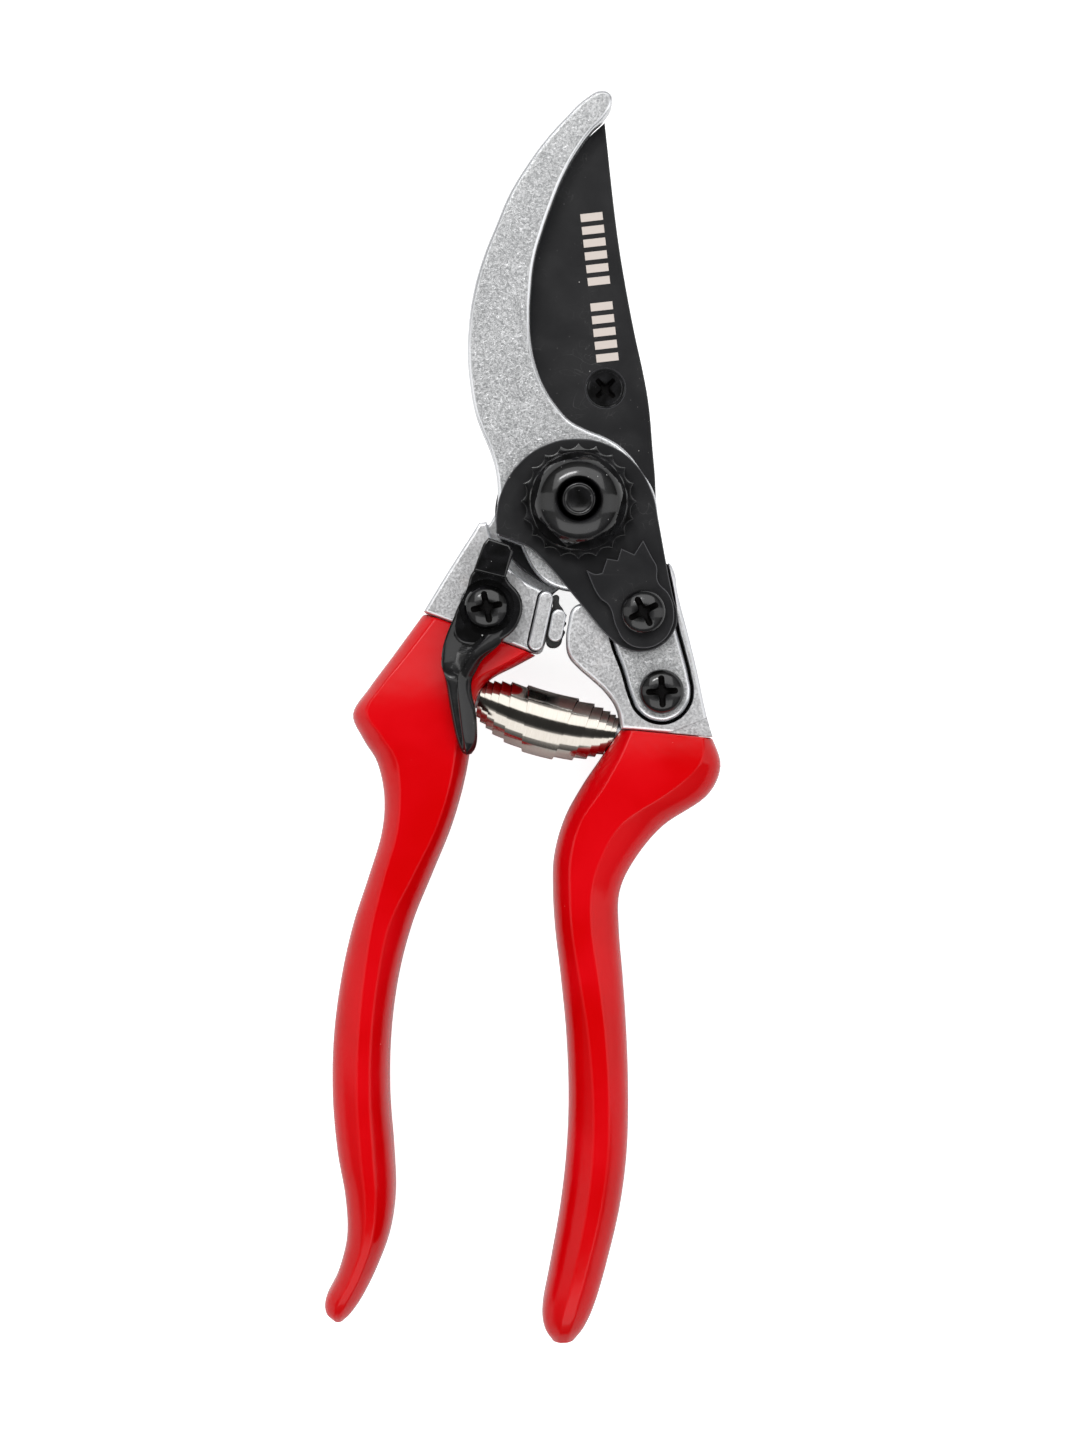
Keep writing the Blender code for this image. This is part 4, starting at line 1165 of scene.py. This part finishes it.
def pivot_bolt():
    body = turned(((0, BOLT_HEAD - 1), (BOLT_SHANK, BOLT_HEAD - 1), (BOLT_SHANK, NUT_PLATE[0]),
                   (BOLT_THREAD, NUT_PLATE[1]), (BOLT_THREAD, BOLT_TOP - 0.6),
                   (BOLT_THREAD - 0.08, BOLT_TOP - 0.25), (BOLT_THREAD - 0.25, BOLT_TOP - 0.06),
                   (BOLT_THREAD - 0.45, BOLT_TOP), (BOLT_THREAD - 0.7, BOLT_TOP - 0.06),
                   (BOLT_THREAD - 0.95, BOLT_TOP - 0.3), (1.3, BOLT_TOP - 0.42),
                   (0.6, BOLT_TOP - 0.46), (0, BOLT_TOP - 0.47)))
    corner = HEX_ACROSS / 2 / math.cos(math.pi / 6)
    head = rod((0, 0), corner, (0, BOLT_HEAD), 6)
    round_off = turned(((0, -1), (6.2, -1), (6.2, 0), (7.0, 0.5), (8.6, 1.6), (8.6, 5), (0, 5)))
    head = combine(head, round_off, "INTERSECT")
    return join(head, body)


def toothed_ring():
    """The nut's flange: sharp teeth with hollow valleys between them."""
    points = []
    samples = 8
    for i in range(FLANGE_TEETH * samples):
        share = (i % samples) / samples
        radius = FLANGE_TIP - (FLANGE_TIP - FLANGE_ROOT) * math.sin(math.pi * share) ** 0.7
        turn = math.tau * i / (FLANGE_TEETH * samples)
        points.append((radius * math.cos(turn), radius * math.sin(turn), CORNER))
    return plate(points, FLANGE, bevel=0.12, rounding=1, steps=1)


def pivot_nut():
    base = FLANGE[0] + 0.4
    body = turned(((0, base), (FLANGE_ROOT - 0.5, base), (FLANGE_ROOT - 0.5, 20.9),
                   (8.3, 21.1), (7.95, 21.6), (7.8, 22.2), (7.65, 22.9), (7.4, 23.6),
                   (7.0, 24.3), (6.5, 24.9), (5.9, 25.4), (5.2, 25.8), (4.5, 26.05),
                   (4.1, 26.15), (3.9, NUT_TOP), (0, NUT_TOP)), 96)
    corner = NUT_ACROSS / 2 / math.cos(math.pi / 6)
    wrench = rod((0, 0), corner, (21.0, NUT_TOP + 2), 6)
    wrench.data.transform(Matrix.Rotation(NUT_TURN, 4, "Z"))
    collar = cut(rod((0, 0), 12, (21.4, NUT_TOP + 1), 96), wrench)
    nut = join(toothed_ring(), cut(body, collar))
    bore = turned(((0, FLANGE[0] - 1), (NUT_BORE, FLANGE[0] - 1), (NUT_BORE, NUT_TOP - 0.5),
                   (NUT_BORE + 0.25, NUT_TOP - 0.08), (NUT_BORE + 0.25, NUT_TOP + 1),
                   (0, NUT_TOP + 1)))
    return cut(nut, bore)


def bolt_washer():
    inner, outer = BOLT_HOLE, 9.0
    low, high = WASHER
    return turned(((inner, low), (outer - 0.15, low), (outer, low + 0.15), (outer, high - 0.15),
                   (outer - 0.15, high), (inner, high)))


# ---------------------------------------------------------------- screws, stop and catch

def pan_screw(place, height, length, turn):
    """Domed screw with a cross recess, standing on a height."""
    profile = ((0, -length), (SHANK - 0.5, -length), (SHANK, -length + 0.6), (SHANK, 0),
               (PAN_HEAD - 0.15, 0), (PAN_HEAD, 0.2), (PAN_HEAD, 0.7), (PAN_HEAD - 0.12, 1.15),
               (PAN_HEAD - 0.45, 1.6), (PAN_HEAD - 0.95, 1.95), (PAN_HEAD - 1.6, 2.22),
               (PAN_HEAD - 2.4, 2.4), (PAN_HEAD - 3.2, PAN_HEIGHT - 0.02), (0, PAN_HEIGHT))
    screw = cut(turned(profile), cross(PAN_HEIGHT, 2.95, 2.3, turn))
    screw.data.transform(Matrix.Translation((*place, height)))
    return screw


def blade_screw():
    high = BLADE[1]
    low = SEAT[0] + 0.3
    profile = ((0, low), (SHANK - 0.5, low), (SHANK, low + 0.5), (SHANK, high - 1.5),
               (FLAT_HEAD, high - 0.12), (FLAT_HEAD, high + 0.02), (FLAT_HEAD - 0.12, high + 0.1),
               (FLAT_HEAD - 0.4, high + 0.1), (FLAT_HEAD - 0.5, high + 0.02), (0, high + 0.02))
    screw = cut(turned(profile), cross(high, 2.35, 1.9, BLADE_TURN))
    screw.data.transform(Matrix.Translation((*BLADE_SCREW, 0)))
    return screw


def catch_washer():
    low, high = CATCH_WASHER
    washer = turned(((SHANK_HOLE, low), (4.7, low), (4.8, low + 0.1), (4.8, high - 0.1),
                     (4.7, high), (SHANK_HOLE, high)))
    washer.data.transform(Matrix.Translation((*CATCH_SCREW, 0)))
    return washer


def stop_insert():
    return capsule(STOP_TOP, STOP_BOTTOM, STOP_HALF_WIDTH, STOP_INSERT, bevel=0.4)


def bumper_rubber():
    return plate(RUBBER_OUTLINE, BUMPER_RUBBER, bevel=0.15)


def bumper_head():
    return capsule(BUMPER_TOP, BUMPER_BOTTOM, BUMPER_RADIUS, BUMPER_HEAD, bevel=0.35)


def lever():
    """The catch's lever: a dished thumb face, a ridge across, then a roofed tail."""
    rings = []
    last = len(CATCH_LEVER_STATIONS) - 1
    for i in range(last * 4 + 1):
        x0, y0, x1, y1, x2, y2, left_up, dish_up, ridge_up, right_up = smoothed(
            [(*left, *ridge, *right, *ups)
             for left, ridge, right, *ups in CATCH_LEVER_STATIONS], i / 4)
        left = Vector((x0, y0))
        ridge = Vector((x1, y1))
        right = Vector((x2, y2))
        low = CATCH_LEVER[0]
        quarter = left.lerp(ridge, 0.2)
        middle = left.lerp(ridge, 0.5)
        most = left.lerp(ridge, 0.8)
        beyond = ridge.lerp(right, 0.5)
        rings.append([
            (*left, low), (*left, left_up - 0.25), (*left.lerp(ridge, 0.05), left_up),
            (*quarter, (left_up + 1.5 * dish_up) / 2.5), (*middle, dish_up),
            (*most, (ridge_up + 1.5 * dish_up) / 2.5), (*left.lerp(ridge, 0.96), ridge_up),
            (*ridge.lerp(right, 0.1), ridge_up - 0.05), (*beyond, (ridge_up + right_up) / 2 + 0.2),
            (*ridge.lerp(right, 0.9), right_up + 0.1), (*right, right_up - 0.3), (*right, low)])
    return loft(rings)


def thumb_catch():
    body = slab(CATCH_HUB_OUTLINE, CATCH_HUB, CATCH_HUB_RIM)
    body = join(body, slab(CATCH_NOSE_OUTLINE, CATCH_NOSE, CATCH_NOSE_RIM))
    body = join(body, lever())
    body = cut(body, rod(CATCH_SCREW, PAN_HEAD + 0.9, (CATCH_RECESS, CATCH_LEVER[1] + PROUD)))
    return cut(body, rod(CATCH_SCREW, SHANK_HOLE, (CATCH_HUB[0] - 1, CATCH_RECESS + 1)))


def between(values, along):
    """A value from a list at a place between two of its entries."""
    index = max(0, min(int(along), len(values) - 2))
    share = along - index
    return values[index] * (1 - share) + values[index + 1] * share


def volute_spring():
    """One tapered strip rolled into a barrel: narrow outside, wide in the innermost turn."""
    per_turn = 40
    across = 14
    along = (SPRING_END - SPRING_START).normalized()
    aside = Vector((along.y, -along.x, 0))
    middle = spring_axis(SPRING_LENGTH / 2)
    bm = bmesh.new()
    grid = []
    for i in range(int(STRIP_TURNS * per_turn) + 1):
        turns = i / per_turn
        radius = between(STRIP_RADII, turns)
        half = between(STRIP_HALVES, turns)
        angle = math.tau * turns
        out = aside * math.sin(angle) - Vector((0, 0, math.cos(angle)))
        row = []
        for j in range(across + 1):
            run = half * (2 * j / across - 1)
            bow = SPRING_BOW * (1 - (run / STRIP_HALVES[-1]) ** 2)
            row.append(bm.verts.new(middle + along * run + out * radius + aside * bow))
        grid.append(row)
    for first, second in zip(grid, grid[1:]):
        for j in range(across):
            bm.faces.new((first[j], first[j + 1], second[j + 1], second[j]))
    mesh = bpy.data.meshes.new("strip")
    bm.to_mesh(mesh)
    bm.free()
    strip = link(mesh)
    thick = strip.modifiers.new("thick", "SOLIDIFY")
    thick.thickness = STRIP_THICKNESS
    thick.offset = 0
    return bake(strip)


# ---------------------------------------------------------------- assembly

def blacken_groove(mesh):
    """Painted shade with some packed dirt on the floor of the groove round the hook's tail."""
    mesh.materials.append(SHADE_AND_DIRT)
    for face in mesh.polygons:
        if face.normal.z > 0.9 and abs(face.center.z / MM - RECESS_FLOOR) < 0.2:
            face.material_index = 1


def build():
    anvil, blade, catch = "anvil_side", "blade_side", "catch"
    handle = present(anvil_handle(), "anvil_handle", ALUMINIUM, anvil,
                     HANDLE_EDGE)
    # The groove's floor is painted near black: painted shade with some dirt.
    blacken_groove(handle.data)
    present(blade_handle(), "blade_handle", ALUMINIUM, blade, HANDLE_EDGE)
    for maker, material, slot, body in (
            (anvil_grip, RED, "red_grip", anvil),
            (anvil_blade, STEEL, "bright_steel", anvil),
            (nut_plate, PLATE_BLACK, "black_coating", anvil),
            (toothed_segment, PLATE_BLACK, "black_coating", anvil),
            (pivot_bolt, GLOSS_BLACK, "black_steel", anvil),
            (pivot_nut, GLOSS_BLACK, "black_steel", anvil),
            (bolt_washer, ZINC, "plain_steel", anvil),
            (blade_grip, RED, "red_grip", blade),
            (cutting_blade, BLADE_BLACK, "black_coating", blade),
            (stop_insert, ALUMINIUM, "bright_steel", blade),
            (bumper_head, ALUMINIUM, "bright_steel", blade),
            (bumper_rubber, RUBBER, "black_rubber", blade),
            (catch_washer, ZINC, "plain_steel", blade)):
        present(maker(), maker.__name__, material, body)
    # The screws' cross recesses are painted near black: painted shade with some dirt.
    for name, place, surface, tip, turn, body in (
            ("segment_screw", SEGMENT_SCREW, SEGMENT[1], 6.4, SEGMENT_TURN, anvil),
            ("tail_screw", TAIL_SCREW, HOOK[1], 6.4, TAIL_TURN, anvil),
            ("catch_screw", CATCH_SCREW, CATCH_RECESS, 9.4, CATCH_TURN, blade)):
        under = surface + HEAD_GAP
        present(pan_screw(place, under, under - tip, turn), name, GLOSS_BLACK,
                body, recess=(place, under + PAN_HEIGHT))
    present(blade_screw(), "blade_screw", GLOSS_BLACK, blade,
            recess=(BLADE_SCREW, BLADE[1] + 0.35))
    # The catch's bevels are painted light grey: a painted highlight with some rubbing.
    present(thumb_catch(), "thumb_catch", GLOSS_BLACK, catch, CATCH_EDGE, HIGHLIGHT_AND_RUBBING)

    spring = present(volute_spring(), "volute_spring", NICKEL)
    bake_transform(spring)


# ---------------------------------------------------------------- floor, light and camera

VIEW_CENTRE = Vector((-5.9955, -37.5147, 0.0)) * MM
CAMERA_HEIGHT = 480.0 * MM
FRAME_TALL = 248.04 * MM
FOCUS_HEIGHT = 467.0 * MM
SENSOR_TALL = 24.0
FLOOR_LIFT = 0.85
FLOOR_HALF = 40.0
# Each lamp's place from the middle of the view in metres, its two sides, and its power.
SOFTBOXES = (
    ("head_box", (0.0, 0.74, 0.88), (1.6, 0.85), 8.0),
    ("foot_box", (0.0, -0.80, 0.86), (1.6, 0.80), 5.8),
    ("key_strip", (-0.22, 0.62, 0.80), (0.40, 0.09), 2.2),
    ("left_box", (-0.90, 0.05, 0.50), (0.5, 1.3), 1.5),
    ("right_box", (0.90, 0.0, 0.50), (0.5, 1.3), 1.9),
)
WORLD_STRENGTH = 0.5


def floor():
    """A plain, nearly white floor that the pruner lies on."""
    bm = bmesh.new()
    bmesh.ops.create_grid(bm, x_segments=1, y_segments=1, size=FLOOR_HALF)
    mesh = bpy.data.meshes.new("floor")
    bm.to_mesh(mesh)
    bm.free()
    ground = link(mesh, "floor")
    material = bpy.data.materials.new("floor_paper")
    material.use_nodes = True
    shader = material.node_tree.nodes["Principled BSDF"]
    shader.inputs["Base Color"].default_value = (0.7, 0.7, 0.7, 1)
    shader.inputs["Roughness"].default_value = 0.8
    shader.inputs["Emission Color"].default_value = (1, 1, 1, 1)
    sheet = Sheet(material.node_tree)
    seen = sheet.add("LightPath").outputs["Is Camera Ray"]
    sheet.feed(shader.inputs["Emission Strength"], sheet.times(seen, FLOOR_LIFT))
    mesh.materials.append(material)


def softbox(name, place, size, power):
    """A soft rectangular lamp that looks at the middle of the pruner."""
    lamp = bpy.data.lights.new(name, "AREA")
    lamp.shape = "RECTANGLE"
    lamp.size = size[0]
    lamp.size_y = size[1]
    lamp.energy = power
    box = bpy.data.objects.new(name, lamp)
    bpy.context.scene.collection.objects.link(box)
    box.location = VIEW_CENTRE + Vector(place)
    box.rotation_mode = "QUATERNION"
    box.rotation_quaternion = (-Vector(place)).to_track_quat("-Z", "Y")


def studio():
    for name, place, size, power in SOFTBOXES:
        softbox(name, place, size, power)
    world = bpy.data.worlds.new("studio")
    bpy.context.scene.world = world
    world.use_nodes = True
    sheet = Sheet(world.node_tree)
    background = world.node_tree.nodes["Background"]
    heading = sheet.add("SeparateXYZ", Vector=sheet.add("TexCoord").outputs["Generated"])
    rise = sheet.span(heading.outputs["Z"], 0.05, 0.6)
    fade = sheet.span(heading.outputs["Z"], 0.90, 0.97)
    around = sheet.tint(rise, rgb(0.3, 0.3, 0.3), rgb(1, 1, 1))
    lit = sheet.tint(fade, around, rgb(0.1, 0.1, 0.1))
    seen = sheet.add("LightPath").outputs["Is Camera Ray"]
    sheet.feed(background.inputs["Color"], sheet.tint(seen, lit, rgb(1.9, 1.9, 1.9)))
    background.inputs["Strength"].default_value = WORLD_STRENGTH


def camera():
    """Looks straight down on the pruner, jaw tips up."""
    lens = bpy.data.cameras.new("camera")
    lens.sensor_fit = "VERTICAL"
    lens.sensor_height = SENSOR_TALL
    lens.lens = SENSOR_TALL * FOCUS_HEIGHT / FRAME_TALL
    lens.clip_start = 0.01
    lens.clip_end = 10.0
    eye = bpy.data.objects.new("camera", lens)
    bpy.context.scene.collection.objects.link(eye)
    eye.location = VIEW_CENTRE + Vector((0, 0, CAMERA_HEIGHT))
    bpy.context.scene.camera = eye


build()
floor()
studio()
camera()
bpy.context.scene.view_settings.view_transform = "Standard"
